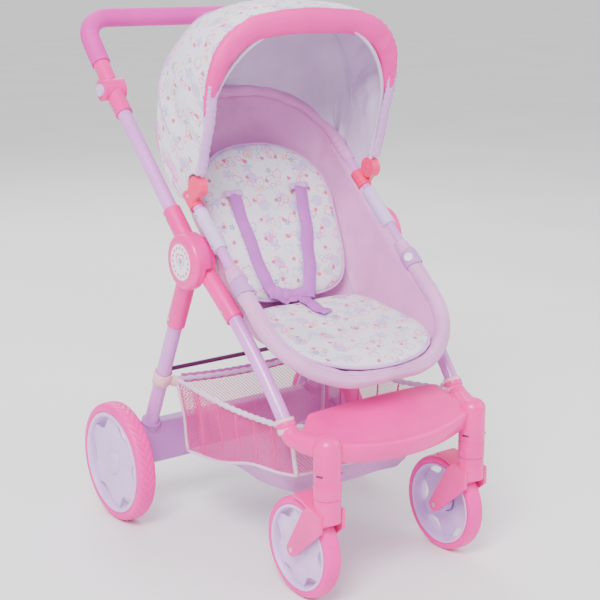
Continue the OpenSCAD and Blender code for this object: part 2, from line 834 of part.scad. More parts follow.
snap_at = [ring_half_w, ring_mid[1], ring_mid[2]] - ring_up * 80;
module snap_tabs() {
    color([0.80, 0.63, 0.86]) for (s = [0, 1]) mirror([s, 0, 0]) difference() {
        bar(snap_at - ring_up * 9, snap_at + ring_up * 9, ring_d + 6.6);
        bar(snap_at - ring_up * 19, snap_at + ring_up * 19, ring_d + 5.3);
    }
}

module snap_buttons() {
    color([0.97, 0.96, 0.99]) for (s = [0, 1]) mirror([s, 0, 0])
        in_frame(snap_at, [1, 0, 0], ring_up) rotate([0, -50, 0])
            translate([0, 0, (ring_d + 6.4) / 2]) cylinder(d = 11, h = 2.4);
}

// ---------------------------------------------------------------- hood

clamp_at = [ring_half_w, ring_mid[1], ring_mid[2]] + ring_up * clamp_u;
disc_d = 26;
disc_t = 6;
disc_mid = ring_half_w + 2.5;
pivot_pin_d = 4;

module canopy_clamps() {
    jaw = ring_d + 6;
    color(CORAL) for (s = [0, 1]) mirror([s, 0, 0]) difference() {
        union() {
            bar(clamp_at - ring_up * 12, clamp_at + ring_up * 12, jaw);
            translate([disc_mid + 0.2, pivot[1], pivot[2]]) rotate([0, 90, 0])
                cylinder(d = disc_d, h = disc_t);
            in_frame(clamp_at, [1, 0, 0], ring_up) translate([disc_mid + 0.2 - ring_half_w, -9, 0])
                cube([disc_t, 18, pivot_lift - 4]);
            xbar([disc_mid, pivot[1], pivot[2]], pivot_pin_d, 2 * disc_t + 2);
        }
        bar(clamp_at - ring_up * 20, clamp_at + ring_up * 20, ring_d);
    }
}

pivot_mid = [0, pivot[1], pivot[2]];
function bow_dir(angle) = yz(angle, 1);
bow_angle = 90 + bow_lean;
bow_half = disc_mid - disc_t / 2;
bow_bend = 118;
module bow(angle, d, height, start) {
    in_frame(pivot_mid, [1, 0, 0], bow_dir(angle)) u_tube(bow_half, height - bow_bend, bow_bend, start, d, 0);
}

module bow_ends(t) {
    for (s = [0, 1]) mirror([s, 0, 0]) difference() {
        translate([bow_half - t / 2, pivot[1], pivot[2]]) rotate([0, 90, 0]) cylinder(d = disc_d, h = t);
        xbar([bow_half, pivot[1], pivot[2]], pivot_pin_d + 2 * run_gap, 20);
    }
}

bow_d = 5;
module canopy_front_bow() {
    color(CORAL) {
        bow(bow_angle, bow_d, hood_r - visor_h / 2, disc_d / 2 - 2);
        bow_ends(disc_t - 0.4);
    }
}

// superellipse arch of half width w and height h, as [x, r] points
function arch(w, h, power) = [for (a = [0 : 6 : 180])
    [(a > 90 ? -1 : 1) * w * pow(abs(cos(a)), 2 / power), h * pow(sin(a), 2 / power)]];
hood_power = 2.5;

// crescent band around the front bow, pointed at both ends, with a channel for the bow
module canopy_visor() {
    low = 100;
    color(PINK) difference() {
        in_frame(pivot_mid, [1, 0, 0], bow_dir(bow_angle)) linear_extrude(visor_t, center = true)
            difference() {
                polygon(arch(hood_half_w, hood_r + 1, hood_power));
                translate([0, low]) polygon(arch(hood_half_w - 13, hood_r + 1 - visor_h - low, 2));
                translate([-200, -50]) square([400, 50.1 + low]);
            }
        bow(bow_angle, bow_d, hood_r - visor_h / 2, disc_d / 2 - 2);
    }
}

// a slice of the hood between two angles over +Y, as a shell of revolution about the pivots
module hood_slice(a0, a1, w, h, low) {
    in_frame(pivot_mid, bow_dir(a0), bow_dir(a0 + 90)) rotate_extrude(angle = a1 - a0, $fn = 96)
        difference() {
        polygon([for (p = arch(w, h, hood_power)) [p[1], p[0]]]);
        polygon([for (p = arch(w - hood_t, h - hood_t, hood_power)) [p[1], p[0]]]);
        translate([-1, -200]) square([low + 1, 400]);
    }
}

layer = hood_t + 1;                      // radial step between two slices, so that they nest
module canopy_front_panel() { color(PRINT) hood_slice(88, bow_angle - 5, hood_half_w, hood_r, 34); }
module canopy_mid_panel() { color(PRINT) hood_slice(65, 91, hood_half_w - layer, hood_r - layer, 34); }
module canopy_rear_panel() {
    color(PRINT) hood_slice(ring_slope - 6, 68, hood_half_w - 2 * layer, hood_r - 2 * layer, 34);
}

// ---------------------------------------------------------------- nodes

left() hub_housing_right();  // hub_housing_left
hub_housing_right();
left() medallion_right();  // medallion_left
medallion_right();
hub_pins();
left() upper_tube_right();  // upper_tube_left
upper_tube_right();
left() rear_leg_right();  // rear_leg_left
rear_leg_right();
left() hinge_lower_right();  // hinge_lower_left
hinge_lower_right();
hinge_pins();
rear_axle_beam();
rear_axle();
cross_rod();
chassis_rivets();
basket_body();
basket_straps();
left() front_hub_right();  // front_hub_left
front_hub_right();
left() front_leg_right();  // front_leg_left
front_leg_right();
footrest();
front_rivets();
left() caster_fork_right();  // caster_fork_left
caster_fork_right();
left() front_axle_right();  // front_axle_left
front_axle_right();
left() front_wheel_right();  // front_wheel_left
front_wheel_right();
left() front_tyre_right();  // front_tyre_left
front_tyre_right();
left() rear_wheel_right();  // rear_wheel_left
rear_wheel_right();
left() rear_tyre_right();  // rear_tyre_left
rear_tyre_right();
left() hinge_upper_right();  // hinge_upper_left
hinge_upper_right();
handle_tube();
handle_grip();
handle_rivets();
left() hinge_button_right();  // hinge_button_left
hinge_button_right();
seat_ring();
left() seat_bracket_right();  // seat_bracket_left
seat_bracket_right();
seat_shell();
front_casing();
seat_pad();
back_pad();
harness();
snap_tabs();
snap_buttons();
seat_screws();
canopy_clamps();
canopy_front_bow();
canopy_visor();
canopy_front_panel();
canopy_mid_panel();
canopy_rear_panel();
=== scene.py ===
# %% [markdown]
# A doll stroller. The frame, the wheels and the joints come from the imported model. This lesson
# dresses it: moulded plastic and painted tube get procedural finishes, and the cloth pieces are built
# here, each as its own object, because a solid block can't look like a hood, a net or a padded liner.

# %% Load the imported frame
import json
import math

import bpy
import bmesh
import numpy as np
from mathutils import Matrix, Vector, noise

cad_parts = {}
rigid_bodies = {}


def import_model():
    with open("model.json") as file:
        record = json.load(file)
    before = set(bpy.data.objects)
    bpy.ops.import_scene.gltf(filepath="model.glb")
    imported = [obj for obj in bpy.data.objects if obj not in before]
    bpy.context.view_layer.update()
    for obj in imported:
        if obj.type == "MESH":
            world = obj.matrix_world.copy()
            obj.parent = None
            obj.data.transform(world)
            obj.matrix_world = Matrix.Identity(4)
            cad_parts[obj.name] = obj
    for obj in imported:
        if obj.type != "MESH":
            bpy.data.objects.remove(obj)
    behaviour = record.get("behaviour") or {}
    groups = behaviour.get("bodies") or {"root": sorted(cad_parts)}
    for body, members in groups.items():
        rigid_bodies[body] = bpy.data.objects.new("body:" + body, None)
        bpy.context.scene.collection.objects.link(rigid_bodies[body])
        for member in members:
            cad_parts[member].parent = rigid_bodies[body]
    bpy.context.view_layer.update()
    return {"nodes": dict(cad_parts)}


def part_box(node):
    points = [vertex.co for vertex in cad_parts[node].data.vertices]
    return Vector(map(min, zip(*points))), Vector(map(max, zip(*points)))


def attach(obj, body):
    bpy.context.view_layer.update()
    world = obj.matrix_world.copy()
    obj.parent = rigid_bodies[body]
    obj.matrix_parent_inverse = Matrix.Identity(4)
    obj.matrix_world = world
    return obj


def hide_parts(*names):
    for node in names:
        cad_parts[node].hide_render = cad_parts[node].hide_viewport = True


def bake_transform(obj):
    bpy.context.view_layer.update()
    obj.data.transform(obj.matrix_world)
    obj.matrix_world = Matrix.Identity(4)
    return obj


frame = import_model()


# %% [markdown]
# The camera is made first. It stands low at the front left corner with a long lens, as a catalogue
# camera does, so that the legs stay nearly parallel.

# %% Camera
AZIMUTH = math.radians(-37.13)
ELEVATION = math.radians(14.2)
back = Vector((math.sin(AZIMUTH) * math.cos(ELEVATION), -math.cos(AZIMUTH) * math.cos(ELEVATION),
               math.sin(ELEVATION)))
camera_data = bpy.data.cameras.new("camera")
camera_data.lens = 79.62
camera_data.sensor_width = 36
camera_data.shift_x = -0.0521
camera = bpy.data.objects.new("camera", camera_data)
bpy.context.scene.collection.objects.link(camera)
camera.location = (-0.9658, -1.3826, 0.7319)
camera.rotation_mode = "QUATERNION"
camera.rotation_quaternion = (-back).to_track_quat("-Z", "Y")
bpy.context.scene.camera = camera
print("camera at", tuple(camera.location))


# %% [markdown]
# The places that every piece hangs on are read from the frame: the ring's plane, the hub, the hood's
# pivots and the wheel centres. A ring that lies in a sloped plane shows its slope in its box.

# %% Places read from the frame
def middle(node):
    low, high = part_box(node)
    return (low + high) / 2


def size(node):
    low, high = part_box(node)
    return high - low


RING_TUBE = 0.013
RING_CORNER = 0.098
RING_MID = middle("seat_ring")
ring_size = size("seat_ring")
RING_SLOPE = math.atan2(ring_size.z - RING_TUBE, ring_size.y - RING_TUBE)
RING_HALF_W = (ring_size.x - RING_TUBE) / 2
RING_HALF_L = math.hypot(ring_size.z - RING_TUBE, ring_size.y - RING_TUBE) / 2
RING_UP = Vector((0, math.cos(RING_SLOPE), math.sin(RING_SLOPE)))
RING_OUT = Vector((0, -math.sin(RING_SLOPE), math.cos(RING_SLOPE)))
HUB = Vector((0, middle("hub_pins").y, middle("hub_pins").z))
PIVOT = RING_MID + RING_UP * 0.059 + RING_OUT * 0.025
print("ring slope", round(math.degrees(RING_SLOPE), 1), "half width", round(RING_HALF_W, 4),
      "half length", round(RING_HALF_L, 4), "pivot", PIVOT)


def in_ring(x, u, out=0.0):
    """A point by its place across, along and out of the ring's plane."""
    return Vector((x, 0, 0)) + RING_MID + RING_UP * u + RING_OUT * out


# %% [markdown]
# Most cloth pieces are grids: a small function says where each point lies, and the grid joins them
# with quads. Tubes, pipings and straps are sweeps: a flat outline carried along a path.

# %% Mesh helpers
def link(name, mesh):
    piece = bpy.data.objects.new(name, mesh)
    bpy.context.scene.collection.objects.link(piece)
    return piece


def from_points(name, points, faces, smooth=True):
    mesh = bpy.data.meshes.new(name)
    mesh.from_pydata([tuple(p) for p in points], [], faces)
    mesh.validate()
    if smooth:
        mesh.shade_smooth()
    return link(name, mesh)


def grid(name, place, across, along, wrap=False, flip=False):
    """A quad grid. place(i, j) gives each point, i from 0 to across, j from 0 to along."""
    columns = across if wrap else across + 1
    points = [place(i, j) for j in range(along + 1) for i in range(columns)]
    faces = []
    for j in range(along):
        for i in range(across):
            k = (i + 1) % columns
            quad = [j * columns + i, j * columns + k, (j + 1) * columns + k, (j + 1) * columns + i]
            faces.append(quad[::-1] if flip else quad)
    return from_points(name, points, faces)


def lay_uv(piece, flat):
    """Writes UVs from flat(point), which gives a place on the cloth in metres."""
    mesh = piece.data
    layer = mesh.uv_layers.get("cloth") or mesh.uv_layers.new(name="cloth")
    places = [flat(v.co) for v in mesh.vertices]
    layer.data.foreach_set("uv", [c for loop in mesh.loops for c in places[loop.vertex_index]])


def settle(piece):
    """Applies every modifier of a piece."""
    graph = bpy.context.evaluated_depsgraph_get()
    graph.update()
    made = bpy.data.meshes.new_from_object(piece.evaluated_get(graph))
    piece.modifiers.clear()
    old = piece.data
    piece.data = made
    bpy.data.meshes.remove(old)
    piece.data.shade_smooth()
    return piece


def thicken(piece, thickness, offset=0.0, smooth_levels=0):
    if smooth_levels:
        piece.modifiers.new("round", "SUBSURF").levels = smooth_levels
    skin = piece.modifiers.new("skin", "SOLIDIFY")
    skin.thickness = thickness
    skin.offset = offset
    return settle(piece)


def sweep(name, path, outline, closed=False, up=(0, 0, 1), caps=True):
    """Carries an outline of (side, up) points along a path. outline may be a function of the index."""
    path = [Vector(p) for p in path]
    count = len(path)
    points, faces = [], []
    ups = up if callable(up) else (lambda k: Vector(up))
    shape = outline if callable(outline) else (lambda k: outline)
    for k, p in enumerate(path):
        ahead = path[(k + 1) % count] if closed or k + 1 < count else p
        behind = path[k - 1] if closed or k > 0 else p
        run = (ahead - behind).normalized()
        side = run.cross(ups(k)).normalized()
        lift = side.cross(run)
        points += [p + side * a + lift * b for a, b in shape(k)]
    n = len(shape(0))
    for k in range(count if closed else count - 1):
        m = (k + 1) % count
        for i in range(n):
            j = (i + 1) % n
            faces.append([k * n + i, m * n + i, m * n + j, k * n + j])
    if caps and not closed:
        faces.append(list(range(n)))
        faces.append([(count - 1) * n + i for i in reversed(range(n))])
    return from_points(name, points, faces)


def circle(radius, n=12):
    return [(radius * math.cos(math.tau * i / n), radius * math.sin(math.tau * i / n)) for i in range(n)]


def band(width, thickness):
    """Outline of a flat strap with soft edges."""
    w, t = width / 2, thickness / 2
    return [(-w, 0), (-w * 0.94, t), (0, t * 1.1), (w * 0.94, t), (w, 0), (w * 0.94, -t), (0, -t),
            (-w * 0.94, -t)]


def wavy(point, scale, amount, seed=0.0):
    return noise.noise(Vector(point) * scale + Vector((seed, seed * 2.3, 0))) * amount


def smooth_step(a, b, x):
    t = min(1.0, max(0.0, (x - a) / (b - a)))
    return t * t * (3 - 2 * t)


def merge(name, parts):
    """Joins several pieces into one object, keeping their materials in order."""
    whole = bmesh.new()
    materials = []
    for part in parts:
        start = len(whole.faces)
        for material in part.data.materials:
            if material not in materials:
                materials.append(material)
        whole.from_mesh(part.data)
        whole.faces.ensure_lookup_table()
        for face in whole.faces[start:]:
            if part.data.materials:
                face.material_index = materials.index(part.data.materials[face.material_index])
    mesh = bpy.data.meshes.new(name)
    bmesh.ops.remove_doubles(whole, verts=whole.verts, dist=1e-6)
    whole.to_mesh(mesh)
    whole.free()
    for material in materials:
        mesh.materials.append(material)
    mesh.shade_smooth()
    for part in parts:
        data = part.data
        bpy.data.objects.remove(part)
        bpy.data.meshes.remove(data)
    return link(name, mesh)


# %% [markdown]
# Every finish is a small node tree. Object coordinates are metres here, so a noise scale of 40 makes
# patches of about 25 mm and a scale of 900 makes a grain of about a millimetre. Colour drifts slowly,
# roughness drifts faster and a fine bump breaks up the highlights: that is what moulded plastic,
# paint and foam really show.

# %% Finish helpers
class Finish:
    """One material and the nodes that feed its surface."""

    def __init__(self, name):
        self.material = bpy.data.materials.new(name)
        self.material.use_nodes = True
        self.nodes = self.material.node_tree.nodes
        self.wire = self.material.node_tree.links.new
        self.shader = self.nodes["Principled BSDF"]

    def add(self, kind, **values):
        node = self.nodes.new(kind)
        for key, value in values.items():
            setattr(node, key, value)
        return node

    def maths(self, operation, *inputs):
        node = self.add("ShaderNodeMath", operation=operation)
        for k, value in enumerate(inputs):
            if isinstance(value, (int, float)):
                node.inputs[k].default_value = value
            else:
                self.wire(value, node.inputs[k])
        return node.outputs[0]

    def noise(self, where, scale, detail=2.0):
        node = self.add("ShaderNodeTexNoise")
        node.inputs["Scale"].default_value = scale
        node.inputs["Detail"].default_value = detail
        self.wire(where, node.inputs["Vector"])
        return node.outputs["Fac"]

    def ramp(self, factor, low, high, a=0.35, b=0.65):
        node = self.add("ShaderNodeValToRGB")
        node.color_ramp.elements[0].position = a
        node.color_ramp.elements[1].position = b
        node.color_ramp.elements[0].color = (*low, 1)
        node.color_ramp.elements[1].color = (*high, 1)
        self.wire(factor, node.inputs["Fac"])
        return node.outputs["Color"]

    def spread(self, factor, low, high):
        node = self.add("ShaderNodeMapRange")
        node.inputs["To Min"].default_value = low
        node.inputs["To Max"].default_value = high
        self.wire(factor, node.inputs["Value"])
        return node.outputs["Result"]

    def bump(self, height, distance, strength=1.0):
        node = self.add("ShaderNodeBump")
        node.inputs["Distance"].default_value = distance
        node.inputs["Strength"].default_value = strength
        self.wire(height, node.inputs["Height"])
        self.wire(node.outputs["Normal"], self.shader.inputs["Normal"])

    def weave(self, where, pitch, depth, extra):
        """Crossed threads of a pitch in metres, as bump, on top of a slower height."""
        split = self.add("ShaderNodeSeparateXYZ")
        self.wire(where, split.inputs[0])
        turn = math.tau / pitch
        u = self.maths("SINE", self.maths("MULTIPLY", split.outputs[0], turn))
        v = self.maths("SINE", self.maths("MULTIPLY", split.outputs[1], turn))
        self.bump(self.maths("ADD", self.maths("MULTIPLY", u, v), extra), depth, 0.8)

    def set(self, **values):
        """Sets plain values on the surface: set(coat_weight=0.2) sets the socket "Coat Weight"."""
        for key, value in values.items():
            self.shader.inputs[key.replace("_", " ").title()].default_value = value


def linear(r, g, b, richer=1.3):
    """A screen colour, 0 to 255, as the linear colour that shaders use. The film curve pales strong
    colours, so each is made a little richer around its own grey."""
    flat = [((c / 255 + 0.055) / 1.055) ** 2.4 for c in (r, g, b)]
    grey = sum(flat) / 3
    return tuple(min(1.0, max(0.004, grey + (c - grey) * richer)) * 0.94 for c in flat)


def shade(colour, k):
    return tuple(min(1.0, c * k) for c in colour)


def moulding(name, colour, rough=0.32, grain=0.00004, coat=0.25, scatter=0.0, metal=0.0):
    """Moulded plastic, paint or metal: slow colour drift, uneven gloss and a fine skin."""
    look = Finish(name)
    where = look.add("ShaderNodeTexCoord").outputs["Object"]
    drift = look.noise(where, 18)
    look.wire(look.ramp(drift, shade(colour, 0.93), shade(colour, 1.05)), look.shader.inputs["Base Color"])
    gloss = look.noise(where, 130, 4)
    look.wire(look.spread(gloss, rough - 0.06, rough + 0.08), look.shader.inputs["Roughness"])
    skin = look.maths("ADD", look.noise(where, 1400, 2),
                      look.maths("MULTIPLY", look.noise(where, 60, 2), 2.0))
    look.bump(skin, grain, 0.6)
    look.set(coat_weight=coat, coat_roughness=0.18, subsurface_weight=scatter,
             subsurface_scale=0.004, metallic=metal)
    return look.material


def cloth(name, colour, dark=0.82, rough=0.75, sheen=0.35, pitch=0.0009, depth=0.00012, crease=0.0009,
          satin=False):
    """Woven cloth: threads, soft creases, slow fade of colour and a sheen at grazing angles."""
    look = Finish(name)
    coords = look.add("ShaderNodeTexCoord")
    where = coords.outputs["Object"]
    fade = look.noise(where, 14, 3)
    look.wire(look.ramp(fade, shade(colour, dark), shade(colour, 1.04)), look.shader.inputs["Base Color"])
    look.wire(look.spread(look.noise(where, 90, 3), rough - 0.12, rough + 0.1),
              look.shader.inputs["Roughness"])
    tilt = look.add("ShaderNodeVectorRotate", rotation_type="EULER_XYZ")
    tilt.inputs["Rotation"].default_value = (0.9, 0.3, 0.6)
    look.wire(where, tilt.inputs["Vector"])
    folds = look.maths("MULTIPLY", look.noise(where, 32, 3), crease / depth)
    look.weave(tilt.outputs[0], pitch, depth, folds)
    look.set(sheen_weight=sheen, sheen_roughness=0.35, sheen_tint=(*shade(colour, 1.2), 1))
    if satin:
        look.set(coat_weight=0.12, coat_roughness=0.35)
    return look.material


def coat_piece(piece, material):
    piece.data.materials.clear()
    piece.data.materials.append(material)
    return piece


# %% [markdown]
# The stroller's own finishes. Pink mouldings are a glossy, slightly waxy plastic; the tubes are
# painted steel; the wheel discs are a pale plastic that lets a little light in.

# %% Finishes
pink_plastic = moulding("pink_plastic", linear(236, 84, 166, 1.6), 0.33, scatter=0.08)
lilac_paint = moulding("lilac_paint", linear(218, 156, 222), 0.28, 0.00002, coat=0.5)
dusky_paint = moulding("dusky_paint", linear(184, 130, 190), 0.4)
pale_plastic = moulding("pale_plastic", linear(220, 196, 238), 0.3, scatter=0.1)
coral_plastic = moulding("coral_plastic", linear(238, 100, 136, 1.6), 0.36)
white_plastic = moulding("white_plastic", linear(246, 243, 250), 0.25)
# The dark plum is the cross rod's own paint. The same material also marks the footrest housings' drain slots
# as painted shade.
plum_paint = moulding("plum_paint", linear(86, 34, 78), 0.3)
foam_skin = moulding("foam_skin", linear(206, 112, 172, 1.6), 0.62, 0.00025, coat=0.0)
wheel_plastic = moulding("wheel_plastic", linear(222, 192, 238), 0.34, scatter=0.1)
tyre_pink = moulding("tyre_pink", linear(240, 104, 174, 1.6), 0.45, 0.00008, coat=0.05)
steel = moulding("steel", (0.62, 0.62, 0.64), 0.24, 0.00003, metal=1.0)

satin = cloth("satin", linear(234, 172, 220), 0.84, 0.5, 0.5, crease=0.0016, satin=True)
casing_cloth = cloth("casing_cloth", linear(232, 176, 222), 0.84, 0.55, 0.45, crease=0.002)
tab_cloth = cloth("tab_cloth", linear(205, 156, 214), 0.85)
webbing = cloth("webbing", linear(192, 124, 198), 0.85, 0.7, 0.3, pitch=0.0016, depth=0.0002)
pale_webbing = cloth("pale_webbing", linear(252, 202, 214), 0.88, 0.7, 0.3, pitch=0.0016, depth=0.0002)
piping_cloth = cloth("piping_cloth", linear(226, 182, 232), 0.88)
lining_cloth = cloth("lining_cloth", linear(226, 210, 236), 0.86, 0.7, 0.3, crease=0.0016)
visor_cloth = cloth("visor_cloth", linear(242, 98, 172, 1.6), 0.9, 0.5, 0.5, crease=0.001, satin=True)
floor_cloth = cloth("floor_cloth", linear(218, 170, 218), 0.84, 0.7, 0.3, crease=0.003)
net_thread = cloth("net_thread", linear(230, 104, 164), 0.9, 0.7, 0.3, crease=0.0002)
purple_elastic = cloth("purple_elastic", linear(196, 120, 190), 0.85, 0.7, 0.3, pitch=0.0014)
pale_trim = cloth("pale_trim", linear(240, 216, 242), 0.88, 0.7, 0.3)
print("finishes", len(bpy.data.materials))


# %% [markdown]
# The printed cotton carries scattered motifs: filled hearts, outline hearts, dots, small flowers and
# soft lilac clouds. Each layer of motifs divides the cloth into cells, shifts the motif at random in
# its cell and draws it from a formula, so nothing is painted and nothing repeats exactly.

# %% Printed cotton
def motif_layer(look, where, cell, size_of, kind, seed, share):
    """1 inside the motif and 0 outside, for a layer of motifs scattered over cells."""
    scaled = look.add("ShaderNodeVectorMath", operation="MULTIPLY_ADD")
    look.wire(where, scaled.inputs[0])
    scaled.inputs[1].default_value = (1 / cell, 1 / cell, 0)
    scaled.inputs[2].default_value = (seed * 3.7, seed * 1.9, 0)
    cell_id = look.add("ShaderNodeVectorMath", operation="FLOOR")
    look.wire(scaled.outputs[0], cell_id.inputs[0])
    inside = look.add("ShaderNodeVectorMath", operation="SUBTRACT")
    look.wire(scaled.outputs[0], inside.inputs[0])
    look.wire(cell_id.outputs[0], inside.inputs[1])
    chance = look.add("ShaderNodeTexWhiteNoise", noise_dimensions="3D")
    look.wire(cell_id.outputs[0], chance.inputs["Vector"])
    pick = look.add("ShaderNodeSeparateXYZ")
    look.wire(chance.outputs["Color"], pick.inputs[0])
    place = look.add("ShaderNodeSeparateXYZ")
    look.wire(inside.outputs[0], place.inputs[0])
    dx = look.maths("SUBTRACT", place.outputs[0],
                    look.maths("MULTIPLY_ADD", pick.outputs[0], 0.4, 0.3))
    dy = look.maths("SUBTRACT", place.outputs[1],
                    look.maths("MULTIPLY_ADD", pick.outputs[1], 0.4, 0.3))
    angle = look.maths("MULTIPLY_ADD", pick.outputs[2], 2.4, -1.2)
    cosine, sine = look.maths("COSINE", angle), look.maths("SINE", angle)
    k = cell / size_of
    x = look.maths("MULTIPLY", look.maths("SUBTRACT", look.maths("MULTIPLY", dx, cosine),
                                          look.maths("MULTIPLY", dy, sine)), k)
    y = look.maths("MULTIPLY", look.maths("ADD", look.maths("MULTIPLY", dx, sine),
                                          look.maths("MULTIPLY", dy, cosine)), k)
    shape = KINDS[kind](look, x, y)
    shown = look.maths("LESS_THAN", chance.outputs["Value"], share)
    return look.maths("MULTIPLY", shape, shown)


def heart_value(look, x, y):
    """The heart curve: below 0 inside a heart about 2.4 wide."""
    xx, yy = look.maths("MULTIPLY", x, x), look.maths("MULTIPLY", y, y)
    ring = look.maths("POWER", look.maths("MAXIMUM",
                                          look.maths("SUBTRACT", look.maths("ADD", xx, yy), 1.0), 0.0), 3.0)
    inner = look.maths("LESS_THAN", look.maths("ADD", xx, yy), 1.0)
    lobes = look.maths("MULTIPLY", xx, look.maths("MULTIPLY", yy, y))
    return look.maths("SUBTRACT", look.maths("SUBTRACT", ring, lobes),
                      look.maths("MULTIPLY", inner, 0.02))


def filled_heart(look, x, y):
    return look.maths("LESS_THAN", heart_value(look, x, y), 0.0)


def outline_heart(look, x, y):
    big = filled_heart(look, x, y)
    small = filled_heart(look, look.maths("MULTIPLY", x, 1.2), look.maths("MULTIPLY", y, 1.2))
    return look.maths("SUBTRACT", big, small)


def dot(look, x, y):
    return look.maths("LESS_THAN", look.maths("ADD", look.maths("MULTIPLY", x, x),
                                              look.maths("MULTIPLY", y, y)), 1.0)


def flower(look, x, y):
    r = look.maths("SQRT", look.maths("ADD", look.maths("MULTIPLY", x, x),
                                      look.maths("MULTIPLY", y, y)))
    petals = look.maths("COSINE", look.maths("MULTIPLY", look.maths("ARCTAN2", y, x), 5.0))
    edge = look.maths("MULTIPLY_ADD", petals, 0.28, 0.78)
    return look.maths("LESS_THAN", r, edge)


def bow(look, x, y):
    """Two loops side by side: a thin outline of a ribbon bow."""
    ax = look.maths("SUBTRACT", look.maths("ABSOLUTE", x), 0.72)
    yy = look.maths("MULTIPLY", y, 1.5)
    r = look.maths("SQRT", look.maths("ADD", look.maths("MULTIPLY", ax, ax),
                                      look.maths("MULTIPLY", yy, yy)))
    return look.maths("LESS_THAN", look.maths("ABSOLUTE", look.maths("SUBTRACT", r, 0.6)), 0.1)


KINDS = {"heart": filled_heart, "outline": outline_heart, "dot": dot, "flower": flower, "bow": bow}
PRINT_LAYERS = [
    # kind, cell, size, seed, share of cells, colour
    ("flower", 0.036, 0.0080, 1, 0.7, linear(206, 196, 232)),
    ("dot", 0.043, 0.0080, 2, 0.6, linear(212, 190, 232)),
    ("bow", 0.037, 0.0070, 3, 0.75, linear(236, 120, 184)),
    ("outline", 0.031, 0.0062, 4, 0.75, linear(240, 108, 176)),
    ("outline", 0.046, 0.0056, 5, 0.5, linear(140, 196, 208)),
    ("bow", 0.049, 0.0060, 6, 0.6, linear(170, 176, 200)),
    ("heart", 0.028, 0.0026, 7, 0.85, linear(216, 44, 124)),
    ("dot", 0.018, 0.0009, 8, 0.7, linear(224, 70, 146)),
    ("flower", 0.041, 0.0040, 9, 0.42, linear(40, 110, 190)),
    ("dot", 0.041, 0.0017, 9, 0.42, linear(250, 216, 140)),
    ("heart", 0.053, 0.0030, 10, 0.45, linear(248, 190, 150)),
]


def printed_cotton(name, ground, rough=0.72):
    look = Finish(name)
    coords = look.add("ShaderNodeTexCoord")
    flat = coords.outputs["UV"]
    fade = look.noise(coords.outputs["Object"], 12, 3)
    colour = look.ramp(fade, shade(ground, 0.9), shade(ground, 1.02))
    wobble = look.add("ShaderNodeTexNoise")
    wobble.inputs["Scale"].default_value = 260
    look.wire(flat, wobble.inputs["Vector"])
    shift = look.add("ShaderNodeVectorMath", operation="MULTIPLY_ADD")
    look.wire(wobble.outputs["Color"], shift.inputs[0])
    shift.inputs[1].default_value = (0.0012, 0.0012, 0)
    look.wire(flat, shift.inputs[2])
    for kind, cell, size_of, seed, share, ink in PRINT_LAYERS:
        mask = motif_layer(look, shift.outputs[0], cell, size_of, kind, seed, share)
        mix = look.add("ShaderNodeMix", data_type="RGBA")
        look.wire(look.maths("MULTIPLY", mask, 0.85), mix.inputs["Factor"])
        look.wire(colour, mix.inputs["A"])
        mix.inputs["B"].default_value = (*ink, 1)
        colour = mix.outputs["Result"]
    look.wire(colour, look.shader.inputs["Base Color"])
    look.wire(look.spread(look.noise(coords.outputs["Object"], 80, 3), rough - 0.1, rough + 0.1),
              look.shader.inputs["Roughness"])
    folds = look.maths("MULTIPLY", look.noise(coords.outputs["Object"], 28, 3), 12.0)
    look.weave(flat, 0.0009, 0.0001, folds)
    look.set(sheen_weight=0.3, sheen_roughness=0.4)
    return look.material


printed = printed_cotton("printed_cotton", linear(240, 234, 246))
print("print layers", len(PRINT_LAYERS))


# %% [markdown]
# The medallion in each hub is a printed disc: a thin pink border, a ring of sixteen dots and a large
# outline heart with a small filled one inside it, on white. The picture is drawn around the hub's axis.

# %% Medallion print
def medallion_finish():
    look = Finish("medallion_print")
    split = look.add("ShaderNodeSeparateXYZ")
    look.wire(look.add("ShaderNodeTexCoord").outputs["Object"], split.inputs[0])
    y = look.maths("SUBTRACT", split.outputs[1], HUB.y)
    z = look.maths("SUBTRACT", split.outputs[2], HUB.z)
    r = look.maths("SQRT", look.maths("ADD", look.maths("MULTIPLY", y, y),
                                      look.maths("MULTIPLY", z, z)))
    turn = look.maths("ARCTAN2", y, z)
    local = look.maths("SUBTRACT", look.maths("PINGPONG", look.maths("ADD", turn, 8.0),
                                              math.pi / 8), math.pi / 16)
    ring_x = look.maths("MULTIPLY", look.maths("MULTIPLY", local, r), 1 / 0.0022)
    ring_y = look.maths("MULTIPLY", look.maths("SUBTRACT", r, 0.0178), 1 / 0.0022)
    small = dot(look, ring_x, ring_y)
    big_x = look.maths("MULTIPLY", y, 1 / 0.0085)
    big_y = look.maths("MULTIPLY", z, 1 / 0.0085)
    ink = linear(226, 70, 142)
    colour = None
    parts = [(look.maths("GREATER_THAN", r, 0.0222), linear(240, 110, 178)), (small, linear(238, 130, 186)),
             (outline_heart(look, big_x, big_y), ink),
             (filled_heart(look, look.maths("MULTIPLY", big_x, 2.1),
                           look.maths("MULTIPLY", big_y, 2.1)), linear(196, 150, 214))]
    for mask, tint in parts:
        mix = look.add("ShaderNodeMix", data_type="RGBA")
        look.wire(mask, mix.inputs["Factor"])
        if colour is None:
            mix.inputs["A"].default_value = (*linear(248, 244, 250), 1)
        else:
            look.wire(colour, mix.inputs["A"])
        mix.inputs["B"].default_value = (*tint, 1)
        colour = mix.outputs["Result"]
    look.wire(colour, look.shader.inputs["Base Color"])
    where = look.add("ShaderNodeTexCoord").outputs["Object"]
    look.wire(look.spread(look.noise(where, 200, 3), 0.14, 0.28), look.shader.inputs["Roughness"])
    look.bump(look.noise(where, 500, 2), 0.00002, 0.4)
    look.set(coat_weight=0.5)
    return look.material


medallion_print = medallion_finish()


# %% [markdown]
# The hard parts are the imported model's own: they keep their shape and only take a finish. Smooth
# shading with sharp edges above 32 degrees keeps the modelled edges crisp.

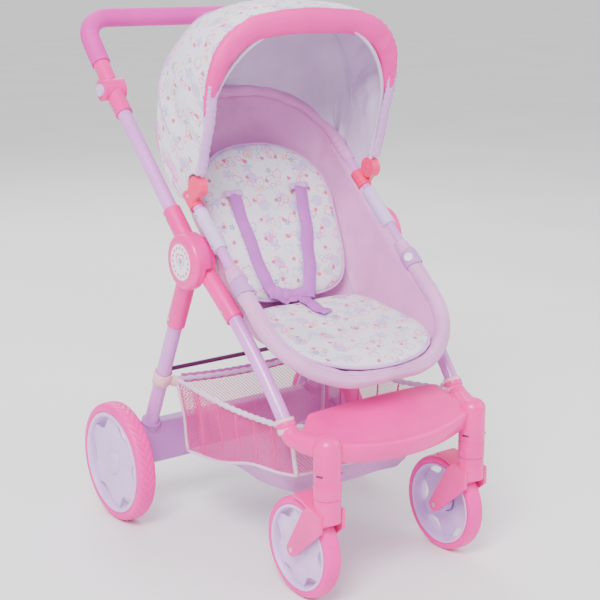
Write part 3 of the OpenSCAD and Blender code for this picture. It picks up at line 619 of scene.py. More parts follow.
# %% Finish the hard parts
HARD = {
    "hub_housing": pink_plastic, "medallion": medallion_print, "hub_pins": steel, "upper_tube": lilac_paint,
    "rear_leg": lilac_paint, "hinge_lower": pink_plastic, "hinge_pins": steel, "rear_axle_beam": dusky_paint,
    "rear_axle": steel, "cross_rod": plum_paint, "chassis_rivets": steel, "front_hub": pink_plastic,
    "front_leg": lilac_paint, "footrest": pink_plastic, "front_rivets": steel, "caster_fork": pink_plastic,
    "front_axle": steel, "hinge_upper": pink_plastic, "handle_tube": lilac_paint, "handle_grip": foam_skin,
    "handle_rivets": steel, "hinge_button": pale_plastic, "seat_ring": lilac_paint,
    "seat_bracket": pale_plastic,
    "snap_buttons": white_plastic, "seat_screws": steel, "canopy_clamps": coral_plastic,
    "canopy_front_bow": lining_cloth, "front_wheel": wheel_plastic, "front_tyre": tyre_pink,
    "rear_wheel": wheel_plastic, "rear_tyre": tyre_pink,
}
for name, node in frame["nodes"].items():
    finish = HARD.get(name) or HARD.get(name.removesuffix("_left").removesuffix("_right"))
    node.data.materials.clear()
    node.data.materials.append(finish or satin)
    node.data.shade_smooth()
    node.data.set_sharp_from_angle(angle=math.radians(32))
bow_node = frame["nodes"]["canopy_front_bow"]
bow_node.data.materials.append(coral_plastic)
for polygon in bow_node.data.polygons:
    reach = Vector((0, polygon.center.y - PIVOT.y, polygon.center.z - PIVOT.z)).length
    polygon.material_index = 1 if reach < 0.016 else 0
print("finished", len(frame["nodes"]), "nodes of the packed model")


# %% [markdown]
# Wheels. The tyre is a soft band with a modelled tread: small wedge grooves that meet in a chevron.
# The disc is one moulding: a wide rim, a domed web shaped like a soft six-pointed star, six open
# crescents between the star and the rim, and a boss over the axle.

# %% Tyres and discs
def groove(turns):
    """A soft V-shaped groove once per turn, 0 on the land and 1 at the bottom."""
    t = abs(turns - math.floor(turns) - 0.5) * 2
    return smooth_step(0.62, 0.95, t)


def build_tyre(name, node, grooves, depth, body):
    centre, box = middle(node), size(node)
    radius, half = box.z / 2, box.x / 2
    inner = radius * 0.845
    profile = []
    for k in range(31):
        a = k / 30 * 2 - 1
        lift = (1 - abs(a) ** 3.4) ** (1 / 2.2) if abs(a) < 1 else 0
        profile.append((a * half * (0.9 + 0.1 * lift), inner + (radius - inner) * (0.28 + 0.72 * lift)))
    profile = [(-half * 0.86, inner)] + profile + [(half * 0.86, inner)]
    around = grooves * 8

    def place(i, j):
        angle = math.tau * i / around
        a, r = profile[j]
        tread = smooth_step(0.9, 0.99, r / radius) * depth
        r -= tread * groove(grooves * i / around + abs(a) / half * 1.6)
        return (centre.x + a, centre.y + r * math.cos(angle), centre.z + r * math.sin(angle))

    tyre = grid(name, place, around, len(profile) - 1, wrap=True)
    inner_band = grid(name + "_seat", lambda i, j: (centre.x + (j * 2 - 1) * half * 0.86,
                      centre.y + inner * math.cos(math.tau * i / around),
                      centre.z + inner * math.sin(math.tau * i / around)), around, 1, wrap=True, flip=True)
    tyre = merge(name, [tyre, inner_band])
    coat_piece(tyre, tyre_pink)
    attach(tyre, body)
    return tyre


def lathe(name, centre, profile, around=96):
    """Turns a profile of (sideways, radius) about a wheel's axis."""
    return grid(name, lambda i, j: (centre.x + profile[j][0],
                centre.y + profile[j][1] * math.cos(math.tau * i / around),
                centre.z + profile[j][1] * math.sin(math.tau * i / around)), around, len(profile) - 1,
                wrap=True)


def build_disc(name, node, body, capped, axle_radius):
    centre, box = middle(node), size(node)
    tyre_box = size(node.replace("wheel", "tyre"))
    radius, half = tyre_box.z / 2, tyre_box.x / 2
    outward = -1 if centre.x < 0 else 1
    boss = radius * 0.21

    def web(i, j, around=144, along=14):
        angle = math.tau * i / around
        edge = radius * (0.772 - 0.175 * (max(0.0, math.cos(6 * angle) + 0.35) / 1.35) ** 0.6)
        t = j / along
        r = boss * 0.9 + (edge - boss * 0.9) * t
        ridge = 0.5 + 0.5 * math.cos(6 * angle + math.pi)
        dome = half * (0.58 - 0.22 * (r / radius) ** 2 + 0.13 * ridge * math.sin(math.pi * min(1, t * 1.02)))
        return (centre.x + outward * dome, centre.y + r * math.cos(angle), centre.z + r * math.sin(angle))

    star = grid(name + "_web", web, 144, 14, wrap=True)
    star = thicken(star, 0.0026, 0.0)
    rim_profile = [(outward * half * a, radius * r) for a, r in (
        (0.12, 0.772), (0.26, 0.770), (0.36, 0.772), (0.60, 0.776), (0.84, 0.782), (0.93, 0.79), (0.96, 0.803),
        (0.97, 0.82), (0.95, 0.835), (0.9, 0.846), (0.8, 0.85), (0.4, 0.85), (0.0, 0.848), (-0.4, 0.85),
        (-0.8, 0.85), (-0.9, 0.843), (-0.93, 0.828), (-0.92, 0.806), (-0.86, 0.792), (-0.5, 0.782),
        (0.0, 0.774), (0.12, 0.772))]
    ring = lathe(name + "_rim", centre, rim_profile, 144)
    top = half * (1.02 if capped else 0.86)
    if capped:
        boss_profile = [(0.25, 1.12), (0.5, 1.08), (0.74, 1.0), (0.9, 0.86), (0.98, 0.6), (1.02, 0.3),
                        (1.03, 0.02)]
    else:
        boss_profile = [(0.25, 1.1), (0.5, 1.05), (0.7, 0.98), (0.8, 0.9), (0.82, 0.7), (0.8, 0.5),
                        (0.72, 0.44)]
    boss_piece = lathe(name + "_boss", centre, [(outward * half * a, boss * r) for a, r in boss_profile])
    back_profile = [(0.25, 0.9), (-0.4, 0.86), (-0.9, 0.84), (-0.92, 0.7), (-0.92, axle_radius / boss),
                    (-0.2, axle_radius / boss)]
    back_piece = lathe(name + "_back", centre, [(outward * half * a, boss * r) for a, r in back_profile])
    disc = merge(name, [star, ring, boss_piece, back_piece])
    coat_piece(disc, wheel_plastic)
    disc.data.set_sharp_from_angle(angle=math.radians(50))
    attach(disc, body)
    return disc


for side in ("left", "right"):
    build_tyre("rear_tread_" + side, "rear_tyre_" + side, 40, 0.0011, "wheel_rear_" + side)
    build_tyre("front_tread_" + side, "front_tyre_" + side, 32, 0.0005, "wheel_front_" + side)
    build_disc("rear_disc_" + side, "rear_wheel_" + side, "wheel_rear_" + side, True, 0.0046)
    build_disc("front_disc_" + side, "front_wheel_" + side, "wheel_front_" + side, False, 0.0034)
for made, node in (("tread", "tyre"), ("disc", "wheel")):
    for end in ("rear", "front"):
        for word in ("left", "right"):
            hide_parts(f"{end}_{node}_{word}")
print("wheels", [p.name for p in bpy.data.objects if "disc" in p.name])


# %% [markdown]
# The seat. A satin bucket is sewn to the ring: shallow at both ends, deepest at the crease where the
# back meets the seat. Its walls drop steeply and bulge a little, because the cloth hangs from a tube.

# %% Seat bucket
CREASE = in_ring(0, -0.0606, -0.0814)
CROWN = in_ring(0, 0.154, -0.0124)
FRONT = in_ring(0, -0.214, 0.004)
BACK_DIR, SEAT_DIR = (CROWN - CREASE).normalized(), (FRONT - CREASE).normalized()
BACK_LEN, SEAT_LEN = (CROWN - CREASE).length, (FRONT - CREASE).length
BACK_NORMAL = Vector((1, 0, 0)).cross(BACK_DIR)
SEAT_NORMAL = Vector((-1, 0, 0)).cross(SEAT_DIR)


def rounded(hw, hl, corner, n, start=0.0, stop=math.tau):
    """Points of a rounded rectangle by turning angle; angle 0 points to +x."""
    points = []
    for k in range(n):
        a = start + (stop - start) * k / n
        dx, dy = math.cos(a), math.sin(a)
        low, high = 0.0, 1.0
        for _ in range(24):
            mid = (low + high) / 2
            px, py = abs(dx) * mid, abs(dy) * mid
            qx, qy = max(px - (hw - corner), 0), max(py - (hl - corner), 0)
            inside = px <= hw and py <= hl and math.hypot(qx, qy) <= corner
            low, high = (mid, high) if inside else (low, mid)
        points.append((dx * low, dy * low))
    return points


def bucket_depth(u):
    knots = [(-0.226, 0.004), (-0.205, 0.022), (-0.0606, 0.098), (0.154, 0.033), (0.2, 0.018), (0.226, 0.003)]
    for (a, p), (b, q) in zip(knots, knots[1:]):
        if u <= b:
            return p + (q - p) * max(0.0, (u - a) / (b - a))
    return knots[-1][1]


def build_bucket():
    around, rings = 180, 34
    edge = rounded(RING_HALF_W - 0.006, RING_HALF_L - 0.006, RING_CORNER - 0.006, around)

    def place(i, j):
        k = (j / rings) ** 0.7
        x, u = edge[i % around][0] * k, edge[i % around][1] * k
        wall = smooth_step(0.62, 0.9, k) * (1 - smooth_step(0.97, 1.0, k))
        out = -bucket_depth(u) * (1 - k ** 9)
        ripple = wavy((x, u, 0), 34, 0.0032 * wall, 3) + wavy((x, u, 0), 90, 0.0009 * wall, 8)
        spread_out = 1 + 0.012 * wall
        return in_ring(x * spread_out, u, out - 0.003 * wall + ripple)

    bucket = merge("seat_bucket", [grid("seat_bucket_raw", place, around, rings, wrap=True)])
    area = sum(f.area for f in bucket.data.polygons)
    thicken(bucket, 0.0016, 0.0)
    coat_piece(bucket, satin)
    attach(bucket, "seat")
    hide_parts("seat_shell")
    return bucket, area


def build_bucket_seams():
    """Raised seams where the bucket's side panels meet its back and its floor."""
    seams = []
    for side in (-1, 1):
        line = []
        for k in range(61):
            u = -0.200 + 0.392 * k / 60
            half = 0.083 + 0.014 * math.sin(math.pi * k / 60)
            depth = bucket_depth(u) * (1 - (half / (RING_HALF_W - 0.006)) ** 9)
            line.append(in_ring(side * half, u, -depth - 0.0022))
        seams.append(sweep("panel_seam", line, circle(0.0015, 8), up=tuple(RING_OUT)))
    cross = []
    for k in range(41):
        x = -0.090 + 0.180 * k / 40
        depth = bucket_depth(-0.0606) * (1 - (abs(x) / (RING_HALF_W - 0.006)) ** 9)
        cross.append(in_ring(x, -0.0606, -depth - 0.0014))
    seams.append(sweep("crease_seam", cross, circle(0.0016, 8), up=tuple(RING_OUT)))
    whole = merge("bucket_seams", seams)
    coat_piece(whole, piping_cloth)
    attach(whole, "seat")


bucket, bucket_area = build_bucket()
build_bucket_seams()
print("bucket area", round(bucket_area, 4))


# %% [markdown]
# The padded sleeve wraps the front half of the ring. It is a tube of satin with a thin filling, and
# it gathers into small folds on the inside of each bend. A seam runs along its outer side.

# %% Front casing and snap tabs
def ring_path(from_u, n_side=26, n_corner=26, n_front=22):
    """The ring's centreline from one side at from_u, round the front, to the other side."""
    c, w, l = RING_CORNER, RING_HALF_W, RING_HALF_L
    points = [(-w, from_u + (-(l - c) - from_u) * k / n_side) for k in range(n_side)]
    points += [(-w + c - c * math.cos(math.pi / 2 * k / n_corner),
                -(l - c) - c * math.sin(math.pi / 2 * k / n_corner))
               for k in range(n_corner)]
    points += [(-(w - c) + 2 * (w - c) * k / n_front, -l) for k in range(n_front)]
    points += [(w - c + c * math.sin(math.pi / 2 * k / n_corner),
                -(l - c) - c * math.cos(math.pi / 2 * k / n_corner))
               for k in range(n_corner)]
    points += [(w, -(l - c) + (from_u + l - c) * k / n_side) for k in range(n_side + 1)]
    return points


def build_casing():
    path = ring_path(-0.050)
    count = len(path)

    def outline(k):
        x, u = path[k]
        end = smooth_step(0, 4, min(k, count - 1 - k))
        points = []
        for i in range(28):
            a = math.tau * i / 28
            fold = noise.noise(Vector((x * 60, u * 60, math.cos(a) * 0.9))) * 0.0009
            fold += math.sin(k * 1.35 + 1.5 * math.sin(k * 0.37)) * 0.00035 * (1 - math.cos(a)) / 2
            seam = -0.0012 * math.exp(-((a - 0.9) / 0.12) ** 2)
            sag = 0.0016 * max(0.0, -math.sin(a))
            r = (0.0076 + 0.0022 * end) + fold + seam + sag
            points.append((r * math.cos(a), r * math.sin(a)))
        return points

    casing = sweep("front_sleeve", [in_ring(x, u) for x, u in path], outline, up=tuple(RING_OUT))
    coat_piece(casing, casing_cloth)
    lay = [in_ring(x, u) for x, u in path]
    stitch = sweep("sleeve_seam",
                   [p + RING_OUT * 0.0102 + (p - RING_MID).normalized() * 0.001 for p in lay[2:-2]],
                   circle(0.0008, 6), up=tuple(RING_OUT))
    coat_piece(stitch, piping_cloth)
    for piece in (casing, stitch):
        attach(piece, "seat")
    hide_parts("front_casing")
    return casing


def build_tab(side):
    """A cloth tab that loops over the sleeve and closes with a press stud on its outer face."""
    x0 = side * RING_HALF_W
    rows, cols = 14, 34

    def place(i, j):
        a = math.tau * i / cols
        t = j / rows * 2 - 1
        width = 0.0098 + 0.0022 * max(0.0, math.cos(a - math.pi * 0.42)) ** 2
        edge = 0.0006 * smooth_step(0.8, 1.0, abs(t))
        r = 0.0112 - edge + wavy((a, t * 0.5, 0), 3, 0.0004, side)
        return in_ring(x0 - side * r * math.cos(a), -0.080 + t * width, r * math.sin(a))

    tab = grid("snap_tab_left" if side < 0 else "snap_tab_right", place, cols, rows, wrap=True)
    thicken(tab, 0.0016, 0.0)
    coat_piece(tab, tab_cloth)
    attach(tab, "seat")
    return tab


def build_head_sleeve():
    """The bucket's cloth turned over the head end of the ring, loose enough to crease."""
    half = [(x, -u) for x, u in ring_path(-0.092)]

    def outline(k):
        x, u = half[k]
        points = []
        for i in range(24):
            a = math.tau * i / 24
            fold = noise.noise(Vector((x * 45, u * 45, math.cos(a)))) * 0.0012
            fold += math.sin(k * 0.9 + 2 * math.sin(k * 0.23)) * 0.0005
            points.append(((0.0084 + fold) * math.cos(a), (0.0084 + fold) * math.sin(a)))
        return points

    sleeve = sweep("head_sleeve", [in_ring(x, u) for x, u in half], outline, up=tuple(RING_OUT))
    coat_piece(sleeve, satin)
    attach(sleeve, "seat")


casing = build_casing()
build_head_sleeve()
tabs = [build_tab(-1), build_tab(1)]
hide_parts("snap_tabs")
print("sleeve", len(casing.data.vertices), "points")


# %% [markdown]
# The liner: two stuffed pads of printed cotton, a tall arched one on the back and a tongue-shaped one
# on the seat, each with a corded edge. Both are built on the two planes that meet at the crease.

# %% Padded liner
def on_liner(x, s, lift):
    """A point on the liner: s runs up the back from the crease, negative s runs along the seat."""
    t = smooth_step(-0.02, 0.02, s)
    back_point = CREASE + BACK_DIR * max(s, -0.02) + BACK_NORMAL * lift
    seat_point = CREASE + SEAT_DIR * max(-s, -0.02) + SEAT_NORMAL * lift
    return seat_point.lerp(back_point, t) + Vector((x, 0, 0))


print("normals", BACK_NORMAL, SEAT_NORMAL)


BACK_T, SEAT_T = 0.017, 0.015            # thickness of the two pads
BACK_HOLLOW, SEAT_HOLLOW = 0.007, 0.005  # how far their sides rise, 0.1 m from the middle


def cupped(x, hollow):
    return hollow * (x / 0.1) ** 2


def pad_outline(half_low, half_high, low, high, arch, n=160):
    """Outline of a pad from s = low to s = high, with an arch at the high end."""
    points = []
    for k in range(n):
        a = math.tau * k / n
        dx, dy = math.cos(a), math.sin(a)
        p = 2.25 if dy > 0 else 5.0
        mid = high - arch
        reach_up, reach_down = high - mid, mid - low
        half = half_high if dy > 0 else half_high + (half_low - half_high) * min(1, -dy * 1.2)
        ry = reach_up if dy > 0 else reach_down
        r = (abs(dx) ** p + abs(dy) ** p) ** (-1 / p)
        points.append((half * dx * r, mid + ry * dy * r))
    return points


def build_pad(name, outline, centre, thickness, hollow):
    """A stuffed pad: full in the middle, pinched and puckered along its corded edge."""
    n, rings = len(outline), 30

    def place(i, j):
        level = j - rings
        k = 1 - abs(level) / rings
        ex, es = outline[i % n]
        x, s = centre[0] + (ex - centre[0]) * k, centre[1] + (es - centre[1]) * k
        body = (1 - k ** 7) ** 0.55
        pucker = 0.0011 * math.sin(i / n * math.tau * 27 + 2 * math.sin(i / n * math.tau * 4)) * k ** 6 * body
        soft = wavy((x, s, 0), 22, 0.0022 * body, 5) + wavy((x, s, 0), 55, 0.0008 * body, 9)
        cup = cupped(x, hollow)
        lift = (thickness / 2) * body + pucker + (soft if level < 0 else 0)
        return on_liner(x, s, (lift if level < 0 else -lift * 0.8) + cup)

    pad = merge(name, [grid(name + "_raw", place, n, 2 * rings, wrap=True)])
    coat_piece(pad, printed)
    return pad


def flatten_back(co):
    d = co - CREASE
    return (co.x + 0.4, d.dot(BACK_DIR) + 0.2)


def flatten_seat(co):
    d = co - CREASE
    return (co.x + 0.9, -d.dot(SEAT_DIR) + 0.7)


def edge_cord(name, outline, lift_of, radius, material, body="seat", waves=0, wave_depth=0.0):
    path = []
    for k, (x, s) in enumerate(outline):
        ripple = 1 + wave_depth * math.sin(k / len(outline) * math.tau * waves) if waves else 1
        path.append(on_liner(x * ripple, s, lift_of(x, s)))
    cord = sweep(name, path, circle(radius, 8), closed=True, up=tuple(RING_OUT))
    coat_piece(cord, material)
    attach(cord, body)
    return cord


back_outline = pad_outline(0.086, 0.099, 0.006, BACK_LEN - 0.004, 0.088)
seat_outline = [(x, -s) for x, s in pad_outline(0.088, 0.1, 0.006, SEAT_LEN + 0.017, 0.078)][::-1]
back_pad = build_pad("back_liner", back_outline, (0, BACK_LEN * 0.5), BACK_T, BACK_HOLLOW)
lay_uv(back_pad, flatten_back)
seat_pad = build_pad("seat_liner", seat_outline, (0, -SEAT_LEN * 0.5), SEAT_T, SEAT_HOLLOW)
lay_uv(seat_pad, flatten_seat)
for pad, node in ((back_pad, "back_pad"), (seat_pad, "seat_pad")):
    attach(pad, "seat")
    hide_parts(node)
edge_cord("back_liner_cord", back_outline, lambda x, s: cupped(x, BACK_HOLLOW), 0.0019, piping_cloth)
edge_cord("seat_liner_cord", seat_outline, lambda x, s: cupped(x, SEAT_HOLLOW), 0.0019, piping_cloth,
          waves=30, wave_depth=0.008)
print("pads", len(back_pad.data.vertices), len(seat_pad.data.vertices))


# %% [markdown]
# The harness is flat webbing: two shoulder straps that come out of stitched slots, meet a short
# crotch strap at the crease, and lie in soft waves because nothing pulls them tight.

# %% Harness
def strap(name, marks, width, lift, material):
    """Webbing through (x, s) marks on the liner."""
    path = []
    steps = 16
    for k in range(len(marks) - 1):
        p0, p1 = marks[max(k - 1, 0)], marks[k]
        p2, p3 = marks[k + 1], marks[min(k + 2, len(marks) - 1)]
        for m in range(steps):
            t = m / steps
            path.append([0.5 * (2 * b + (c - a) * t + (2 * a - 5 * b + 4 * c - d) * t * t
                                + (3 * b - a - 3 * c + d) * t ** 3)
                         for a, b, c, d in zip(p0, p1, p2, p3)])
    path.append(list(marks[-1]))
    points = []
    for k, (x, s) in enumerate(path):
        rise = lift + 0.0012 * math.sin(k * 0.33) + wavy((x, s, 0.3), 25, 0.001, 4)
        cup = cupped(x, BACK_HOLLOW)
        points.append(on_liner(x, s, rise + cup))
    piece = sweep(name, points, band(width, 0.0016),
                  up=lambda k: BACK_NORMAL if path[k][1] > 0 else SEAT_NORMAL)
    coat_piece(piece, material)
    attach(piece, "seat")
    return piece


LIFT = BACK_T / 2 + 0.0027
WEB_WIDTH = 0.0185
shoulder_near = strap("shoulder_strap_near",
                      [(-0.053, 0.150), (-0.0525, 0.11), (-0.050, 0.06), (-0.045, 0.024),
                       (-0.030, 0.008), (-0.010, -0.008)], WEB_WIDTH, LIFT, webbing)
strap("shoulder_strap_far", [(0.050, 0.150), (0.044, 0.11), (0.034, 0.07), (0.022, 0.03),
                             (0.012, 0.004), (0.004, -0.014)], WEB_WIDTH, LIFT + 0.0004, webbing)
strap("crotch_strap", [(0.000, -0.004), (-0.004, -0.022), (-0.004, -0.046), (0.000, -0.062)], WEB_WIDTH,
      SEAT_T / 2 + 0.0034, webbing)
strap("waist_strap", [(-0.047, 0.014), (-0.03, 0.010), (-0.01, 0.005), (0.012, 0.006)], 0.016,
      LIFT - 0.0004, webbing)
for k, x in enumerate((-0.053, 0.050)):
    strap("slot_patch_" + "ab"[k], [(x - 0.014, 0.151), (x, 0.1515), (x + 0.014, 0.151)], 0.008,
          LIFT + 0.0002, piping_cloth)
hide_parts("harness")
print("straps built")


# %% [markdown]
# The hood is a fan of cloth around two pivots. Each of its points is described by a distance from the
# pivot axis, an angle around it and a place across: the front edge follows the arch, the rear edge
# falls behind the head of the seat, and everything between is one continuous sheet that bulges where
# nothing supports it.

# %% Hood shape
def around_pivot(x, r, degrees):
    a = math.radians(degrees)
    return Vector((x, PIVOT.y + r * math.cos(a), PIVOT.z + r * math.sin(a)))


def arch(half, low, high, power, n):
    """Points (x, r) of half a superellipse from its side (half, low) to its crown (0, high)."""
    points = []
    for k in range(n + 1):
        a = math.pi / 2 * k / n
        points.append((half * math.cos(a) ** (2 / power), low + (high - low) * math.sin(a) ** (2 / power)))
    return points


def even(points, n):
    """The same open line with n + 1 evenly spaced points."""
    points = [Vector(p) for p in points]
    lengths = [0.0]
    for a, b in zip(points, points[1:]):
        lengths.append(lengths[-1] + (b - a).length)
    out, k = [], 0
    for m in range(n + 1):
        want = lengths[-1] * m / n
        while k < len(points) - 2 and lengths[k + 1] < want:
            k += 1
        t = (want - lengths[k]) / max(1e-9, lengths[k + 1] - lengths[k])
        out.append(points[k].lerp(points[k + 1], min(1, max(0, t))))
    return out


HALF_STEPS = 60
side_front = [(0.1400, 0.016, 110), (0.1402, 0.05, 109.4), (0.1388, 0.085, 108.9)]
front_half = side_front + [(x, r, 108.6 - 3.3 * (r - 0.103) / 0.1127) for x, r in
                           arch(0.1405, 0.112, 0.2150, 3.0, 40)]
rear_half = [(0.1385, 0.018, -42), (0.1366, 0.034, -28), (0.1352, 0.0465, -18), (0.1345, 0.0500, -4),
             (0.1342, 0.056, 12.5), (0.1260, 0.0886, 24), (0.1180, 0.118, 28), (0.1080, 0.145, 30.6),
             (0.0920, 0.165, 31.8), (0.0710, 0.178, 32.6), (0.0400, 0.183, 32.8), (0.0, 0.1845, 32.8)]
front_line = even(front_half, HALF_STEPS)
rear_line = even(rear_half, HALF_STEPS)


HOOP_AT = 0.46  # where the middle hoop lies between the front edge, 0, and the rear edge, 1


def hood_point(t, s, lift=0.0):
    """t runs from -1, one pivot, over the crown at 0, to 1; s runs from 0 in front to 1 at the rear."""
    k = (1 - abs(t)) * HALF_STEPS
    i = min(int(k), HALF_STEPS - 1)
    f = front_line[i].lerp(front_line[i + 1], k - i)
    b = rear_line[i].lerp(rear_line[i + 1], k - i)
    side = -1 if t < 0 else 1
    crown = 1 - abs(t)
    bulge = math.sin(math.pi * min(1, s * 1.02)) ** 0.9
    x = f.x + (b.x - f.x) * smooth_step(0.1, 1.0, s)
    r = f.y + (b.y - f.y) * (s ** 1.5)
    r += 0.016 * bulge * smooth_step(0.35, 0.8, crown)
    x += 0.006 * bulge * smooth_step(0.1, 0.5, crown) * (1 - smooth_step(0.55, 0.9, crown))
    degrees = f.z + (b.z - f.z) * s
    rib = math.exp(-((s - HOOP_AT) / 0.03) ** 2) * 0.0028 * smooth_step(0.3, 0.6, crown)
    slack = math.sin(math.pi * smooth_step(0.0, HOOP_AT, s)) + math.sin(math.pi * smooth_step(HOOP_AT, 1.0,
                                                                                              s))
    p = around_pivot(side * x, r, degrees)
    wrinkle = noise.noise(Vector((t * 9, s * 3.2, 1.7))) * 0.0046 + noise.noise(Vector((t * 20, s * 7,
                                                                                        4.1))) * 0.0020
    away = Vector((side * 0.5 * (1 - crown), p.y - PIVOT.y, p.z - PIVOT.z - 0.02)).normalized()
    inner = smooth_step(0.02, 0.25, crown)
    fan = smooth_step(0.08, 0.26, crown) * (1 - smooth_step(0.36, 0.75, crown)) * math.sin(math.pi * s) ** 0.5
    wrinkle += 0.0032 * fan * math.sin(s * 17 + 2.2 * noise.noise(Vector((t * 3, s * 2, 8))) + side)
    wrinkle += 0.0016 * fan * math.sin(s * 41 + t * 5)
    return p + away * (lift + rib - 0.003 * max(0.0, slack - 0.9) + wrinkle * inner * min(1.0, slack))


def build_hood():
    across, deep = 150, 46
    hood = grid("hood_cloth", lambda i, j: hood_point(i / across * 2 - 1, j / deep), across, deep)
    cut = sum(f.area for f in hood.data.polygons)
    points = [v.co.copy() for v in hood.data.vertices]
    columns, centre, seam = across + 1, across // 2, round(HOOP_AT * deep)
    flat = [[0.0, 0.0] for _ in points]
    for j in range(deep + 1):
        for step in (1, -1):
            run = 0.0
            for i in range(centre + step, columns if step > 0 else -1, step):
                run += (points[j * columns + i] - points[j * columns + i - step]).length
                flat[j * columns + i][0] = step * run
    for i in range(columns):
        for step in (1, -1):
            run = 0.0
            for j in range(seam + step, deep + 1 if step > 0 else -1, step):
                run += (points[j * columns + i] - points[(j - step) * columns + i]).length
                flat[j * columns + i][1] = step * run
    layer = hood.data.uv_layers.new(name="cloth")
    layer.data.foreach_set("uv", [c + 0.5 for loop in hood.data.loops for c in flat[loop.vertex_index]])
    hood.data.materials.append(printed)
    hood.data.materials.append(lining_cloth)
    middle_face = hood.data.polygons[(deep // 2) * across + across // 2]
    outward = middle_face.normal.z > 0
    skin = hood.modifiers.new("skin", "SOLIDIFY")
    skin.thickness = 0.0022
    skin.offset = -1.0 if outward else 1.0
    skin.use_flip_normals = False
    skin.material_offset = 1
    skin.material_offset_rim = 0
    settle(hood)
    return hood, cut, outward


hood, hood_cut, hood_outward = build_hood()
print("hood cloth", round(hood_cut, 4), "m2; faces point outward:", hood_outward)


# %% [markdown]
# The visor is a stuffed crescent along the arch: widest over the crown and running out to points at
# both sides. Bound edges are narrow folded tape, and a stitched seam follows the middle hoop.

# %% Visor, bindings and hoop seam
def build_visor():
    along, ring = 110, 26

    def place(i, j):
        t = (j / along * 2 - 1) * 0.745
        crown = 1 - abs(t) / 0.745
        full = math.sin(math.pi / 2 * min(1.0, crown * 1.25)) ** 0.8
        p = hood_point(t, 0.0, 0.0)
        inward = Vector((0, PIVOT.y, PIVOT.z + 0.02)) - p
        inward = Vector((-p.x * 0.9, inward.y, inward.z)).normalized()
        rearward = (hood_point(t, 0.06) - p)
        rearward = (rearward - inward * rearward.dot(inward)).normalized()
        height = 0.0008 + 0.0040 * smooth_step(0, 0.1, crown) + 0.0262 * full
        depth = 0.0008 + 0.0050 * smooth_step(0, 0.1, crown) + 0.0130 * full
        a = math.tau * i / ring
        c, d = math.cos(a), math.sin(a)
        lift = (abs(c) ** 0.8) * (1 if c > 0 else -1)
        pucker = 0.0007 * math.sin(j * 1.9 + 2 * math.sin(j * 0.31)) * full * (0.5 + 0.5 * c)
        soft = noise.noise(Vector((t * 16, c * 1.3, d * 1.3))) * 0.0016 * full
        centre = p + inward * (height / 2 - 0.0025) + rearward * 0.0018
        return centre - inward * (height / 2 * lift + pucker) + rearward * (depth / 2 * d + soft)

    visor = grid("visor_pad", place, ring, along, wrap=True)
    coat_piece(visor, visor_cloth)
    return visor


visor = build_visor()
hood_trims = [visor]
for side, word in ((-1, "left"), (1, "right")):
    edge = [hood_point(side * (1 - k / 60 * 0.46), 0.004)
            + Vector((-side * 0.0052, -0.0034, 0.0004 * math.sin(k * 1.9)))
            for k in range(61)]
    cord = sweep("hood_front_binding_" + word, edge,
                 lambda k: band(0.0135 + 0.0012 * math.sin(k * 1.3), 0.0024),
                 up=lambda k: Vector((0, 1, 0.25)))
    coat_piece(cord, piping_cloth)
    hood_trims.append(cord)
rear_edge = [hood_point(-1 + 2 * k / 160, 1.0) for k in range(161)]
rear_binding = sweep("hood_rear_binding", rear_edge, circle(0.0022, 8), up=(0, 1, 0.3))
coat_piece(rear_binding, piping_cloth)
hoop = sweep("hood_hoop_seam", [hood_point(-0.72 + 1.44 * k / 120, HOOP_AT, 0.0006) for k in range(121)],
             circle(0.0011, 6), up=(0, 1, 0))
coat_piece(hoop, piping_cloth)
inner_seam = sweep("hood_lining_seam", [hood_point(-0.70 + 1.4 * k / 120, 0.40, -0.0030) for k in range(121)],
                   circle(0.0013, 6), up=(0, 1, 0))
coat_piece(inner_seam, lining_cloth)
hood_trims += [rear_binding, hoop, inner_seam]
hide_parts("canopy_front_panel", "canopy_mid_panel", "canopy_rear_panel")
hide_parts("canopy_visor")
for piece in [hood] + hood_trims:
    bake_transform(piece)
print("hood pieces", 1 + len(hood_trims))


# %% [markdown]
# The basket hangs from the legs on four straps. Its walls are knotted net with diamond cells, its
# floor is plain cloth, and the edges are bound. The net is real geometry: a diagonal grid turned into
# thin threads.

# %% Basket shape
def basket_rim(t):
    """t runs 0..4 around the rim: back, near side, front, far side."""
    corners = [(0.122, 0.0695, 0.203), (-0.122, 0.0695, 0.203), (-0.124, -0.190, 0.209),
               (0.124, -0.190, 0.209)]
    k = int(t) % 4
    f = t - int(t)
    a, b = Vector(corners[k]), Vector(corners[(k + 1) % 4])
    sag = (0.006, 0.011, 0.012, 0.011)[k] * 4 * f * (1 - f)
    p = a.lerp(b, f)
    inward = Vector((-p.x, -p.y - 0.06, 0)) * 0.05 * 4 * f * (1 - f)
    return p - Vector((0, 0, sag)) + inward * (1 if k in (1, 3) else 0.6)


def basket_foot(t):
    corners = [(0.112, 0.062, 0.103), (-0.112, 0.062, 0.103), (-0.112, -0.186, 0.146), (0.112, -0.186, 0.146)]
    k = int(t) % 4
    f = t - int(t)
    a, b = Vector(corners[k]), Vector(corners[(k + 1) % 4])
    p = a.lerp(b, f)
    wave = noise.noise(Vector((t * 3.1, 0.4, 2.2))) * 0.004
    sag = (0.002, 0.003, 0.003, 0.003)[k] * 4 * f * (1 - f)
    if k in (1, 3):
        sag += 0.006 * math.sin(math.pi * f) ** 2 * math.sin(math.tau * f + 0.4)
    return p - Vector((0, 0, sag + wave * 0.5)) + Vector((wave, wave, 0)) * 0.5


